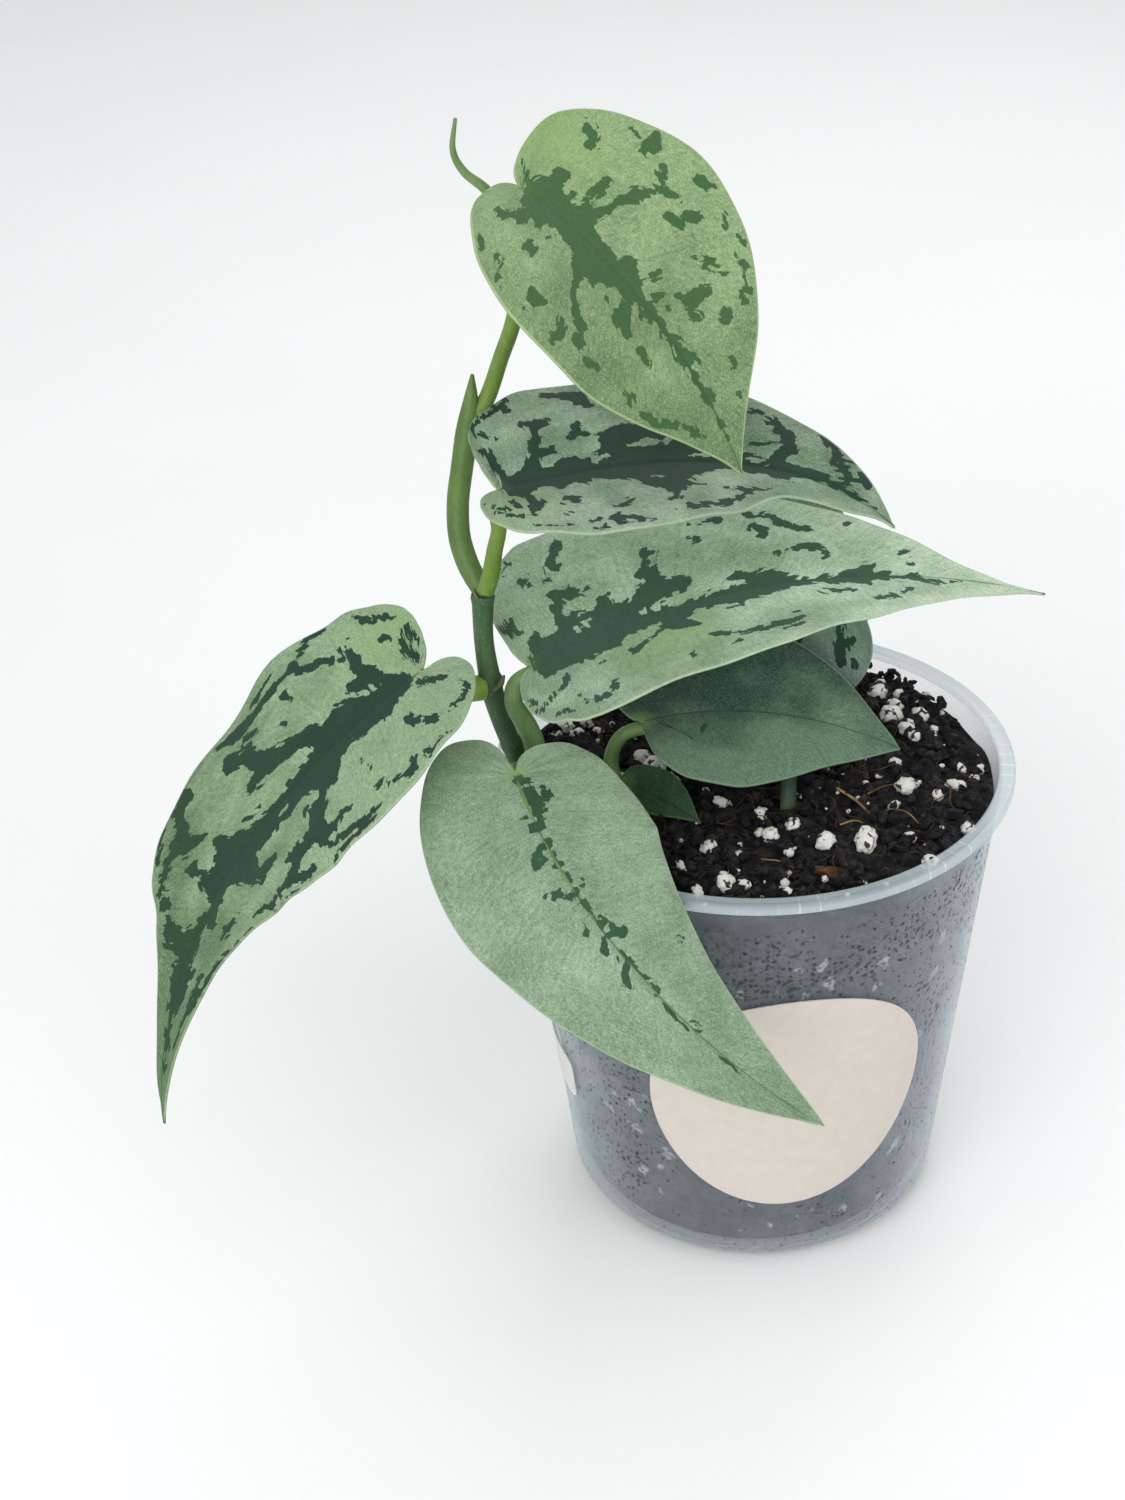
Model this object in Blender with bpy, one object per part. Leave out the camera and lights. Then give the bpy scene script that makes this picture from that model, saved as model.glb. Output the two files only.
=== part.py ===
"""A satin pothos growing in its clear plastic nursery pot.

Sizes are in millimetres, degrees and shares of a length, and turn to metres where a mesh is
made. The origin is the middle of the pot's underside, +Z is up and the label faces -Y.
Pairs such as (left, right) are the two halves of a leaf, seen from its base with the tip ahead.
"""
import math

import bmesh
import bpy
import numpy as np
from mathutils import Matrix, Vector

MM = 0.001
FIT_GAP = 0.3

# Pot: a 12 cm clear pot with a turned-out rim
POT_HEIGHT = 117.0
RIM_RADIUS = 60.0
RIM_DEPTH = 2.5
RIM_ROUND = 0.6
WALL = 1.0
WALL_TOP_RADIUS = 57.0
WALL_BASE_RADIUS = 44.2
HEEL_RADIUS = 7.5
POT_STEPS = 64
DRAIN_COUNT = 6
DRAIN_RADIUS = 3.5
DRAIN_CIRCLE = 26.0

# Soil: its top rolls in waves of (height, length, direction). Big lumps of perlite are (x, y, radius).
SOIL_LEVEL = 111.0
SOIL_HEEL = 12.0
SOIL_RINGS = 7
SOIL_STEPS = 48
SOIL_WAVES = ((0.6, 34, 20), (0.5, 23, 75), (0.35, 17, 140))
STEM_CLEARANCE = 1.2
HOLE_FLOOR = 96.0
HOLE_SIDES = 16
LUMP_SEED = 7
LUMP_COUNT = 26
LUMP_SIZES = (1.2, 2.2)
LUMP_SPACE = 1.0
LUMP_REACH = 0.92
BIG_LUMPS = ((27, -24, 2.8), (37, 6, 2.4), (30, 22, 2.7), (36, 30, 2.3), (-21, 6, 3.0), (-17, 2, 2.6),
             (-8, -36, 2.2), (17, -24, 2.4), (45, 2, 2.0), (-39, 22, 2.2), (-36, 27, 1.9), (-42, 18, 2.0))

# Labels on the wall: the angle round the axis from -Y, and the height of the middle
LABEL_THICK = 0.4
LABEL_STEPS = 32
LABEL_ANGLE = 10.6
LABEL_CENTRE = 54.0
LABEL_RADIUS = 33.0
LABEL_UNEVEN = 0.5
SMALL_LABEL_ANGLE = -75.0
SMALL_LABEL_CENTRE = 39.0
SMALL_LABEL_HALF = (12.0, 6.3)

# Leaves. Each half's edge is three curves: round the lobe, out to the broadest place, and on to the tip.
# A ruled line runs from each station on the edge to its station on the midrib, which sets off late.
BLADE_THICK = 0.8
LOBE_AT = 0.42
LOBE_SHARE = 0.16
BROAD_SHARE = 0.30
RIB_START = 0.30
RIB_EASE = 1.3
SPINE_STEPS = 60
BLADE_COLUMNS = 4
ROWS_LOBE, ROWS_BROAD, ROWS_TIP = 3, 5, 8
RIB_REACH = 0.34
RIB_SHARES = (0.02, 0.15, 0.4, 1.0)
RIB_END_RADIUS = 0.5
RIB_SINK = 0.2

# base is where the blade meets its stalk. From there the midrib heads off (0 is -Y, 90 is +X) and rises,
# and the blade is rolled about it. half is each half's width, lobe how far it reaches back past the base,
# broadest the place of its greatest width, belly and point how full it stays and how it nears the tip,
# and tail how long the tip is drawn out. Over the whole length the midrib bends down, sweeps sideways and
# twists, more of it near the tip where late is positive. Each half folds up by fold and arches back down
# by arch. waves are bulges of one half's edge: (side, place, length, height).
LEAVES = {
    "leaf_top": dict(
        base=(-48, 1.5, 253.5), heading=74, rise=-32, roll=-7, length=76, half=(36.5, 31), lobe=(6, 5),
        broadest=0.24, belly=(0.32, 0.50), point=(0.08, 0.28), tail=0.20, bend=30, bend_late=0.16,
        sweep=19, sweep_late=-0.14, twist=-21, fold=(11, 12), arch=(-3, 25), lobe_lift=5),
    "leaf_second": dict(
        base=(-53.5, -18, 194.5), heading=111, rise=3, roll=-3, length=90, half=(32.5, 31), lobe=(2, 7),
        broadest=0.18, belly=(0.36, 0.46), point=(0.12, 0.14), tail=0.14, bend=14, bend_late=0.24,
        sweep=74, sweep_late=1.12, twist=-9, fold=(17, 15), arch=(22, 12), lobe_lift=5,
        waves=((1, 68, 9, 9), (1, 84, 7, -3))),
    "leaf_third": dict(
        base=(-49, -13, 148.5), heading=110, rise=21, roll=-5, length=116, half=(36.5, 32.5), lobe=(3, 5.5),
        broadest=0.08, belly=(0.50, 0.50), point=(-0.04, 0.26), tail=0.24, bend=20, bend_late=0.10,
        sweep=40, sweep_late=0.04, twist=-1, fold=(15, 12), arch=(14, 2), lobe_lift=1),
    "leaf_left": dict(
        base=(-74.5, -14, 147), heading=-70, rise=-35, roll=1, length=123, half=(35.5, 37), lobe=(12, 5.5),
        broadest=0.16, belly=(0.28, 0.68), point=(0.64, 0.16), tail=0.56, bend=25, bend_late=0.04,
        sweep=-62, sweep_late=1.24, twist=12, fold=(7, 9), arch=(5, 10), lobe_lift=0,
        waves=((1, 28, 10, 3), (1, 46, 10, -2))),
    "leaf_front": dict(
        base=(-51.5, -35.5, 134), heading=18, rise=-13, roll=-6, length=106.5, half=(25.5, 26),
        lobe=(7.5, 14), broadest=0.22, belly=(0.02, 0.22), point=(0.26, 0.10), tail=0.10, bend=40,
        bend_late=-0.06, sweep=-52, sweep_late=0.08, twist=1, fold=(-6, -8), arch=(18, 18), lobe_lift=8),
    "leaf_low": dict(
        base=(-24.5, -8, 131), heading=112, rise=3, roll=-12, length=61, half=(26.5, 23.5), lobe=(5, 2),
        broadest=0.26, belly=(0.28, 0.26), point=(0.12, 0.26), tail=0.10, bend=19, bend_late=0.02,
        sweep=33, sweep_late=-0.30, twist=-17, fold=(12, 10), arch=(4, 15), lobe_lift=4),
    "leaf_back": dict(
        base=(19.5, 29.5, 145), heading=-84, rise=-31, roll=51, length=63, half=(23.5, 28.5),
        lobe=(2.5, 10), broadest=0.20, belly=(0.34, 0.28), point=(0.26, 0.12), tail=0.08, bend=11,
        bend_late=0.04, sweep=10, sweep_late=0.18, twist=5, fold=(9, 9), arch=(11, 10), lobe_lift=4),
    "leaf_small": dict(
        base=(-29, -11, 116), heading=62, rise=-2, roll=-12, length=20.5, half=(7.5, 6.5), lobe=(2, 2),
        broadest=0.30, belly=(0.26, 0.26), point=(0.2, 0.2), tail=0.15, bend=14, bend_late=0.0,
        sweep=10, sweep_late=0.0, twist=0, fold=(12, 12), arch=(8, 8), lobe_lift=0),
}

# Stalks: points from where each grows out, up to just below the blade's base, and the radius at each
STALKS = {
    "leaf_top": (((-64, 8, 191), (-62.6, 10.4, 195.2), (-61.1, 12.3, 198.2), (-58.7, 14, 201.5),
                  (-55.3, 13, 211), (-51.7, 10, 221.5), (-49.2, 8, 235), (-48.6, 6.2, 246),
                  (-49.2, 3, 251)),
                 (1.8, 1.9, 1.9, 1.9, 1.8, 1.8, 1.7, 1.7, 1.6)),
    "leaf_second": (((-58.8, -10.6, 166.3), (-57.4, -11.3, 170.6), (-56, -13, 177.6), (-54.6, -15.5, 183.8),
                     (-54.4, -18.3, 190)),
                    (2.0, 2.0, 1.8, 1.7, 1.7)),
    "leaf_third": (((-50.4, -11.3, 120.5), (-49.5, -12, 127), (-51, -13, 133), (-53.5, -14, 139.5),
                    (-52.6, -14, 145)),
                   (1.9, 2.4, 2.4, 2.1, 1.8)),
    "leaf_left": (((-62.0, -10.3, 141.6), (-65.5, -12.6, 142.6), (-70.8, -14, 144.8)),
                  (2.1, 2.0, 1.8)),
    "leaf_front": (((-53.7, -13.4, 119.2), (-53.5, -15.5, 121.6), (-52.8, -20, 125.5), (-52, -28, 130.5),
                    (-51.8, -32.3, 132)),
                   (1.7, 1.9, 2.0, 1.9, 1.8)),
    "leaf_low": (((-29.5, -9.9, 97), (-29.5, -9.9, 110), (-32, -8, 116), (-32.4, -7.2, 121.5),
                  (-29.6, -7.6, 127.3)),
                 (2.0, 2.0, 1.9, 1.7, 1.6)),
    "leaf_back": (((24, 40, 97), (24, 40, 112), (25.5, 38, 127), (24.5, 33.5, 140)),
                  (1.8, 1.8, 1.7, 1.6)),
    "leaf_small": (((-37, -14.5, 97), (-37, -14.5, 110), (-34.6, -13.4, 114), (-31.8, -12, 115.6)),
                   (1.2, 1.2, 1.1, 1.0)),
}
ROOTED_LEAVES = ("leaf_low", "leaf_back", "leaf_small")

# The sheath round the foot of the top leaf's stalk, and the new leaf still rolled up beside it
SHEATH_PATH = ((-61.6, -6.6, 167.6), (-63.4, -4.4, 170.6), (-65, -1.5, 175.4), (-65.2, 1.8, 182),
               (-64.4, 6, 188), (-63.3, 10, 195), (-62.4, 12.6, 201), (-61.8, 13.4, 207))
SHEATH_RADII = (2.4, 2.5, 2.5, 2.5, 2.5, 2.5, 1.7, 0.4)
NEW_LEAF_PATH = ((-49.2, 8, 234.5), (-50.7, 10, 239.6), (-52.9, 11, 244.6), (-56.6, 12, 249.7),
                 (-60.9, 12, 253.5), (-63, 12, 258.2), (-62.1, 12, 265))
NEW_LEAF_RADII = (1.3, 1.3, 1.2, 1.1, 0.9, 0.7, 0.4)

# Stems that stand in the soil
STEM_PATH = ((-48.2, -8.6, 97), (-48.2, -8.6, 110.5), (-52.6, -8.2, 116.8), (-55, -8, 124.5),
             (-57.5, -8, 132.5), (-59, -8.5, 141), (-60, -9, 153), (-59.6, -9.5, 165))
STEM_RADII = (2.3, 2.3, 2.4, 2.4, 2.3, 2.5, 2.2, 2.5)
STUB_PATH = ((8, -14, 97), (8, -14, 110), (8, -12, 117), (8, -11, 121))
STUB_RADII = (1.9, 1.9, 1.8, 1.8)
TUBE_SIDES = 8
PATH_STEP = 4.0


def material(name, colour, roughness):
    """A Principled finish from an sRGB hex colour."""
    made = bpy.data.materials.new(name)
    made.use_nodes = True
    shader = made.node_tree.nodes["Principled BSDF"]
    values = [int(colour[i:i + 2], 16) / 255 for i in (0, 2, 4)]
    linear = [v / 12.92 if v <= 0.04045 else ((v + 0.055) / 1.055) ** 2.4 for v in values]
    shader.inputs["Base Color"].default_value = (*linear, 1.0)
    shader.inputs["Roughness"].default_value = roughness
    return made


def new_object(name, vertices, faces, finish):
    """A mesh object from points in millimetres, with faces wound outwards."""
    mesh = bpy.data.meshes.new(name)
    mesh.from_pydata([tuple(float(c) * MM for c in v) for v in vertices], [], faces)
    solid = bmesh.new()
    solid.from_mesh(mesh)
    bmesh.ops.remove_doubles(solid, verts=solid.verts, dist=0.001 * MM)
    bmesh.ops.recalc_face_normals(solid, faces=solid.faces)
    solid.to_mesh(mesh)
    solid.free()
    mesh.materials.append(finish)
    mesh.shade_smooth()
    made = bpy.data.objects.new(name, mesh)
    bpy.context.scene.collection.objects.link(made)
    return made


def hide_tool(tool):
    """Marks an object that only cuts or joins."""
    tool.hide_render = True
    tool.display_type = "WIRE"


def combine(target, tool, operation):
    """Adds or takes away another object by a Boolean that stays on the target."""
    step = target.modifiers.new(operation.lower() + "_" + tool.name, "BOOLEAN")
    step.operation = operation
    step.object = tool
    step.solver = "EXACT"
    hide_tool(tool)


def turned(profile, steps):
    """Points and faces of a (radius, height) profile turned round Z, its ends on the axis."""
    vertices, rows = [], []
    for radius, height in profile:
        if radius < 1e-6:
            rows.append([len(vertices)] * steps)
            vertices.append((0.0, 0.0, height))
            continue
        rows.append([len(vertices) + k for k in range(steps)])
        turns = [2 * math.pi * k / steps for k in range(steps)]
        vertices += [(radius * math.cos(a), radius * math.sin(a), height) for a in turns]
    faces = []
    for low, high in zip(rows, rows[1:]):
        for k in range(steps):
            corners = (low[k], low[(k + 1) % steps], high[(k + 1) % steps], high[k])
            face = tuple(dict.fromkeys(corners))
            if len(face) > 2:
                faces.append(face)
    return vertices, faces


def drills(name, spots, low, high, finish):
    """Upright cylinders at (x, y, radius), as one object that cuts holes."""
    vertices, faces = [], []
    for x, y, radius in spots:
        points, sides = turned([(0, low), (radius, low), (radius, high), (0, high)], HOLE_SIDES)
        faces += [tuple(i + len(vertices) for i in side) for side in sides]
        vertices += [(px + x, py + y, pz) for px, py, pz in points]
    return new_object(name, vertices, faces, finish)


def arc(centre, radius, start, end, count):
    """Points on an arc in the (radius, height) plane."""
    angles = np.radians(np.linspace(start, end, count))
    return [(centre[0] + radius * math.cos(a), centre[1] + radius * math.sin(a)) for a in angles]


def wall_radius(height):
    """Outer radius of the pot's tapered wall."""
    share = height / (POT_HEIGHT - RIM_DEPTH)
    return WALL_BASE_RADIUS + (WALL_TOP_RADIUS - WALL_BASE_RADIUS) * share


def build_pot(finish):
    """The open shell: flat base, rounded heel, tapered wall and rim, with drain holes."""
    under_rim = POT_HEIGHT - RIM_DEPTH
    heel = wall_radius(HEEL_RADIUS) - HEEL_RADIUS
    inner = HEEL_RADIUS - WALL
    profile = [(0, 0)]
    profile += arc((heel, HEEL_RADIUS), HEEL_RADIUS, -90, 0, 5)
    profile += [(WALL_TOP_RADIUS, under_rim), (RIM_RADIUS - RIM_ROUND, under_rim)]
    profile += [(RIM_RADIUS, under_rim + RIM_ROUND), (RIM_RADIUS, POT_HEIGHT - RIM_ROUND)]
    profile += [(RIM_RADIUS - RIM_ROUND, POT_HEIGHT), (WALL_TOP_RADIUS - WALL + RIM_ROUND, POT_HEIGHT)]
    profile += [(WALL_TOP_RADIUS - WALL, POT_HEIGHT - RIM_ROUND), (WALL_TOP_RADIUS - WALL, under_rim)]
    profile += arc((heel, HEEL_RADIUS), inner, 0, -90, 5)
    profile += [(0, WALL)]
    pot = new_object("pot", *turned(profile, POT_STEPS), finish)
    turns = [2 * math.pi * k / DRAIN_COUNT for k in range(DRAIN_COUNT)]
    spots = [(DRAIN_CIRCLE * math.cos(a), DRAIN_CIRCLE * math.sin(a), DRAIN_RADIUS) for a in turns]
    combine(pot, drills("drain_drill", spots, -WALL, 2 * WALL, finish), "DIFFERENCE")


def soil_height(x, y):
    """Height of the rolling top of the soil."""
    height = SOIL_LEVEL
    for rise, length, angle in SOIL_WAVES:
        turn = math.radians(angle)
        height += rise * math.sin(2 * math.pi * (x * math.cos(turn) + y * math.sin(turn)) / length + turn)
    return height


def lump_spots(reach, holes):
    """Places of the perlite lumps: the big ones, and small ones strewn clear of them and of the holes."""
    draw = np.random.default_rng(LUMP_SEED)
    spots = list(BIG_LUMPS)
    while len(spots) < len(BIG_LUMPS) + LUMP_COUNT:
        turn = draw.uniform(0, 2 * math.pi)
        far = reach * math.sqrt(draw.uniform(0, 1))
        x, y, size = far * math.cos(turn), far * math.sin(turn), draw.uniform(*LUMP_SIZES)
        space = [math.dist((x, y), other[:2]) - size - other[2] for other in spots + holes]
        if min(space) > LUMP_SPACE:
            spots.append((x, y, size))
    return spots


def lump_object(x, y, size, draw):
    """One lump of perlite: a squashed and turned icosphere, sunk almost to its middle."""
    mesh = bpy.data.meshes.new("lump")
    lump = bmesh.new()
    bmesh.ops.create_icosphere(lump, subdivisions=1, radius=size * MM)
    stretch = Vector((draw.uniform(0.8, 1.2), draw.uniform(0.8, 1.2), draw.uniform(0.65, 0.85)))
    bmesh.ops.scale(lump, vec=stretch, verts=lump.verts)
    spin = Matrix.Rotation(draw.uniform(0, math.pi), 3, "Z")
    bmesh.ops.rotate(lump, cent=(0, 0, 0), matrix=spin, verts=lump.verts)
    bmesh.ops.translate(lump, vec=Vector((x, y, soil_height(x, y) + 0.1 * size)) * MM, verts=lump.verts)
    lump.to_mesh(mesh)
    lump.free()
    return bpy.data.objects.new("lump", mesh)


def build_soil(finish, holes):
    """The root ball: it fills the pot, with lumps of perlite sunk in its top and a hole for each stem."""
    inside = WALL + FIT_GAP
    top_radius = wall_radius(SOIL_LEVEL) - inside
    heel = wall_radius(SOIL_HEEL) - inside - SOIL_HEEL
    lower = [(0, inside)] + arc((heel, SOIL_HEEL + inside), SOIL_HEEL, -90, 0, 5)
    rings = [(top_radius * (SOIL_RINGS - k) / SOIL_RINGS, SOIL_LEVEL) for k in range(SOIL_RINGS + 1)]
    vertices, faces = turned(lower + rings, SOIL_STEPS)
    ground = inside + 2 * SOIL_HEEL
    shaped = [(x, y, soil_height(x, y) if z > ground else z) for x, y, z in vertices]
    soil = new_object("soil", shaped, faces, finish)

    lumps = bpy.data.collections.new("lumps")
    bpy.context.scene.collection.children.link(lumps)
    draw = np.random.default_rng(LUMP_SEED)
    for spot in lump_spots(LUMP_REACH * top_radius, holes):
        lumps.objects.link(lump_object(*spot, draw))
    join = soil.modifiers.new("lumps", "BOOLEAN")
    join.operation = "UNION"
    join.operand_type = "COLLECTION"
    join.collection = lumps
    join.solver = "EXACT"
    apply_modifiers(soil)
    for lump in list(lumps.objects):
        bpy.data.objects.remove(lump)
    bpy.data.collections.remove(lumps)
    combine(soil, drills("stem_drill", holes, HOLE_FLOOR, POT_HEIGHT, finish), "DIFFERENCE")


def apply_modifiers(target):
    """Turns what the modifiers make into the object's own mesh."""
    graph = bpy.context.evaluated_depsgraph_get()
    made = bpy.data.meshes.new_from_object(target.evaluated_get(graph))
    target.modifiers.clear()
    target.data = made


def build_label(name, angle, centre, finish, edge, rings):
    """A thin sticker bent round the wall. edge gives how far it reaches in each direction."""
    inner, outer = [], []
    for ring in range(rings + 1):
        for k in range(LABEL_STEPS):
            turn = 2 * math.pi * k / LABEL_STEPS
            reach = edge(turn) * ring / rings
            height = centre + reach * math.sin(turn)
            round_wall = math.radians(angle) + reach * math.cos(turn) / wall_radius(centre)
            for shell, extra in ((inner, 0.0), (outer, LABEL_THICK)):
                far = wall_radius(height) + FIT_GAP + extra
                shell.append((far * math.sin(round_wall), -far * math.cos(round_wall), height))
    count = len(inner)
    faces = []
    for ring in range(rings):
        for k in range(LABEL_STEPS):
            a = ring * LABEL_STEPS + k
            b = ring * LABEL_STEPS + (k + 1) % LABEL_STEPS
            c, d = b + LABEL_STEPS, a + LABEL_STEPS
            sheet = [(a, c, d)] if ring == 0 else [(a, b, c), (a, c, d)]
            faces += sheet + [tuple(i + count for i in reversed(face)) for face in sheet]
            if ring == rings - 1:
                faces += [(d, c, c + count), (d, c + count, d + count)]
    new_object(name, inner + outer, faces, finish)


def pebble(turn):
    """Edge of the big label: nearly round, a little longer one way than the other."""
    return LABEL_RADIUS + LABEL_UNEVEN * math.cos(2 * turn - 0.6)


def rounded_oblong(turn):
    """Edge of the small label: an oblong with rounded corners."""
    wide, high = SMALL_LABEL_HALF
    return ((abs(math.cos(turn)) / wide) ** 6 + (abs(math.sin(turn)) / high) ** 6) ** (-1 / 6)


def bezier(points, share):
    """Points of a cubic at each share from 0 to 1."""
    a, b, c, d = (np.array(p, float) for p in points)
    s = share[:, None]
    return (1 - s) ** 3 * a + 3 * (1 - s) ** 2 * s * b + 3 * (1 - s) * s ** 2 * c + s ** 3 * d


def half_outline(leaf, side, along):
    """Flat edge of one half as (across, ahead), from the notch round the lobe to the tip."""
    wide, lobe, length = leaf["half"][side], leaf["lobe"][side], leaf["length"]
    belly, point, tail = leaf["belly"][side], leaf["point"][side], leaf["tail"]
    deep, broad = LOBE_AT * wide, leaf["broadest"] * length
    notch, low, side_on, tip = (0, 0), (deep, -lobe), (wide, broad), (0, length)
    arcs = ((notch, (0.02 * wide, -0.75 * lobe), (0.55 * deep, -lobe), low),
            (low, (deep + 0.6 * (wide - deep), -lobe), (wide, broad - 0.6 * (broad + lobe)), side_on),
            (side_on, (wide, broad + belly * length), (point * wide, (1 - tail) * length), tip))
    ends = (0.0, LOBE_SHARE, LOBE_SHARE + BROAD_SHARE, 1.0)
    edge = np.zeros((len(along), 2))
    for number, points in enumerate(arcs):
        start, end = ends[number], ends[number + 1]
        here = (along >= start) & (along <= end)
        edge[here] = bezier(points, (along[here] - start) / (end - start))
    return edge


def unit(v):
    return v / np.linalg.norm(v)


def spine(leaf):
    """The midrib as points in space with their ahead, face and right-hand directions, and their step."""
    heading, rise, roll = np.radians([leaf["heading"], leaf["rise"], leaf["roll"]])
    out = math.cos(rise)
    ahead = np.array([math.sin(heading) * out, -math.cos(heading) * out, math.sin(rise)])
    level = unit(np.cross(ahead, [0, 0, 1.0]))
    across = level * math.cos(roll) + np.cross(level, ahead) * math.sin(roll)
    face = np.cross(across, ahead)
    place = np.array(leaf["base"], float)
    step = leaf["length"] / SPINE_STEPS
    rows = [(place, ahead, face, across)]
    for k in range(SPINE_STEPS):
        late = 2 * k / SPINE_STEPS - 1
        bend = math.radians(leaf["bend"]) / SPINE_STEPS * (1 + leaf["bend_late"] * late)
        sweep = math.radians(leaf["sweep"]) / SPINE_STEPS * (1 + leaf["sweep_late"] * late)
        twist = math.radians(leaf["twist"]) / SPINE_STEPS
        turned_ahead = unit(ahead - face * bend + across * sweep)
        face = face + ahead * bend - across * twist
        face = unit(face - turned_ahead * (face @ turned_ahead))
        place = place + (ahead + turned_ahead) / 2 * step
        ahead = turned_ahead
        across = np.cross(ahead, face)
        rows.append((place, ahead, face, across))
    return [np.array(column) for column in zip(*rows)], step


def on_blade(leaf, flat):
    """Bends flat (across, ahead) points to where they lie on the leaf in space."""
    (place, ahead, face, across), step = spine(leaf)
    x, y = flat[:, 0], flat[:, 1]
    k = np.clip(np.clip(y, 0, leaf["length"]) / step, 0, SPINE_STEPS - 1e-6)
    i = k.astype(int)
    f = (k - i)[:, None]
    at, ahead, face, across = (a[i] * (1 - f) + a[i + 1] * f for a in (place, ahead, face, across))
    side = (x > 0).astype(int)
    fold, arch, half = (np.array(leaf[key], float)[side] for key in ("fold", "arch", "half"))
    reach = np.abs(x)
    tilt = np.radians(fold - arch * reach / (2 * half))
    lift = math.radians(leaf["lobe_lift"])
    behind = np.minimum(y, 0)
    rise = reach * np.sin(tilt) - behind * math.sin(lift)
    for wave_side, centre, spread, height in leaf.get("waves", ()):
        near = np.exp(-((y - centre) / spread) ** 2) * height
        rise = rise + np.where(x * wave_side > 0, (reach / half) ** 2 * near, 0)
    out = at + across * (np.sign(x) * reach * np.cos(tilt))[:, None] + face * rise[:, None]
    return out + ahead * (behind * math.cos(lift))[:, None]


def blade_rows():
    """Stations from just past the notch to the tip, closer together round the lobes."""
    broad_end = LOBE_SHARE + BROAD_SHARE
    lobe = np.linspace(0, LOBE_SHARE, ROWS_LOBE, endpoint=False)[1:]
    broad = np.linspace(LOBE_SHARE, broad_end, ROWS_BROAD, endpoint=False)
    return np.concatenate([lobe, broad, np.linspace(broad_end, 1, ROWS_TIP + 1)])


def build_blade(name, leaf, finish):
    """The blade: a thin triangulated sheet ruled from the midrib out to both edges, thickened both ways."""
    along = blade_rows()
    rib = leaf["length"] * np.clip((along - RIB_START) / (1 - RIB_START), 0, 1) ** RIB_EASE
    middle = np.stack([np.zeros(len(along)), rib], 1)
    left, right = half_outline(leaf, 0, along) * (-1, 1), half_outline(leaf, 1, along)
    columns = []
    for k in range(-BLADE_COLUMNS, BLADE_COLUMNS + 1):
        edge = left if k < 0 else right
        share = abs(k) / BLADE_COLUMNS
        columns.append(middle * (1 - share) + edge * share)
    points = np.concatenate([on_blade(leaf, column) for column in columns])
    rows, faces = len(along), []
    for column in range(2 * BLADE_COLUMNS):
        for row in range(rows - 1):
            a, b = column * rows + row, column * rows + row + 1
            c, d = a + rows, b + rows
            faces += [(a, c, d), (a, d, b)] if column < BLADE_COLUMNS else [(a, c, b), (b, c, d)]
    kept = [f for f in faces if min(math.dist(points[f[i]], points[f[i - 1]]) for i in range(3)) > 1e-6]
    blade = new_object(name, points, kept, finish)
    thick = blade.modifiers.new("thickness", "SOLIDIFY")
    thick.thickness = BLADE_THICK * MM
    thick.offset = 0.0
    return blade


def smooth_path(points, radii):
    """Evenly spaced points and radii on a smooth curve through a few chosen ones."""
    points, radii = np.array(points, float), np.array(radii, float)
    rows = np.concatenate([points, radii[:, None]], 1)
    rows = np.concatenate([[2 * rows[0] - rows[1]], rows, [2 * rows[-1] - rows[-2]]])
    out = []
    for a, b, c, d in zip(rows, rows[1:], rows[2:], rows[3:]):
        count = max(1, round(float(np.linalg.norm((c - b)[:3])) / PATH_STEP))
        for s in np.arange(count) / count:
            out.append(0.5 * (2 * b + (c - a) * s + (2 * a - 5 * b + 4 * c - d) * s ** 2
                              + (3 * b - a - 3 * c + d) * s ** 3))
    out.append(rows[-2])
    out = np.array(out)
    return out[:, :3], out[:, 3]


def build_tube(name, points, radii, finish):
    """A round stem or stalk along a path, with flat ends."""
    path, reach = smooth_path(points, radii)
    ahead = [unit(b - a) for a, b in zip(path, path[1:])]
    tangents = [ahead[0]] + [unit(a + b) for a, b in zip(ahead, ahead[1:])] + [ahead[-1]]
    side = unit(np.cross(tangents[0], [0.3, 0.9, 0.2]))
    vertices, faces = [], []
    for centre, radius, tangent in zip(path, reach, tangents):
        side = unit(side - tangent * (side @ tangent))
        other = np.cross(tangent, side)
        for k in range(TUBE_SIDES):
            turn = 2 * math.pi * k / TUBE_SIDES
            vertices.append(centre + radius * (side * math.cos(turn) + other * math.sin(turn)))
    for ring in range(len(path) - 1):
        for k in range(TUBE_SIDES):
            a, b = ring * TUBE_SIDES + k, ring * TUBE_SIDES + (k + 1) % TUBE_SIDES
            faces.append((a, b, b + TUBE_SIDES, a + TUBE_SIDES))
    faces.append(tuple(reversed(range(TUBE_SIDES))))
    faces.append(tuple(range(len(vertices) - TUBE_SIDES, len(vertices))))
    return new_object(name, vertices, faces, finish)


def rib_under(leaf, radius):
    """Points and radii that carry the stalk on below the blade as its raised midrib."""
    (place, _, face, _), _ = spine(leaf)
    points, radii = [], []
    for share in RIB_SHARES:
        thin = radius + (RIB_END_RADIUS - radius) * math.sqrt(share)
        i = int(share * RIB_REACH * SPINE_STEPS)
        points.append(tuple(place[i] - face[i] * (thin - RIB_SINK)))
        radii.append(thin)
    return points, radii


def build_leaf(name, leaf, stalk, leaf_finish, stalk_finish):
    """One whole leaf: the blade with its stalk and midrib grown into one body."""
    blade = build_blade(name, leaf, leaf_finish)
    points, radii = stalk
    rib_points, rib_radii = rib_under(leaf, radii[-1])
    tube = build_tube(name + "_stalk", list(points) + rib_points, list(radii) + rib_radii, stalk_finish)
    combine(blade, tube, "UNION")
    return blade


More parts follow.
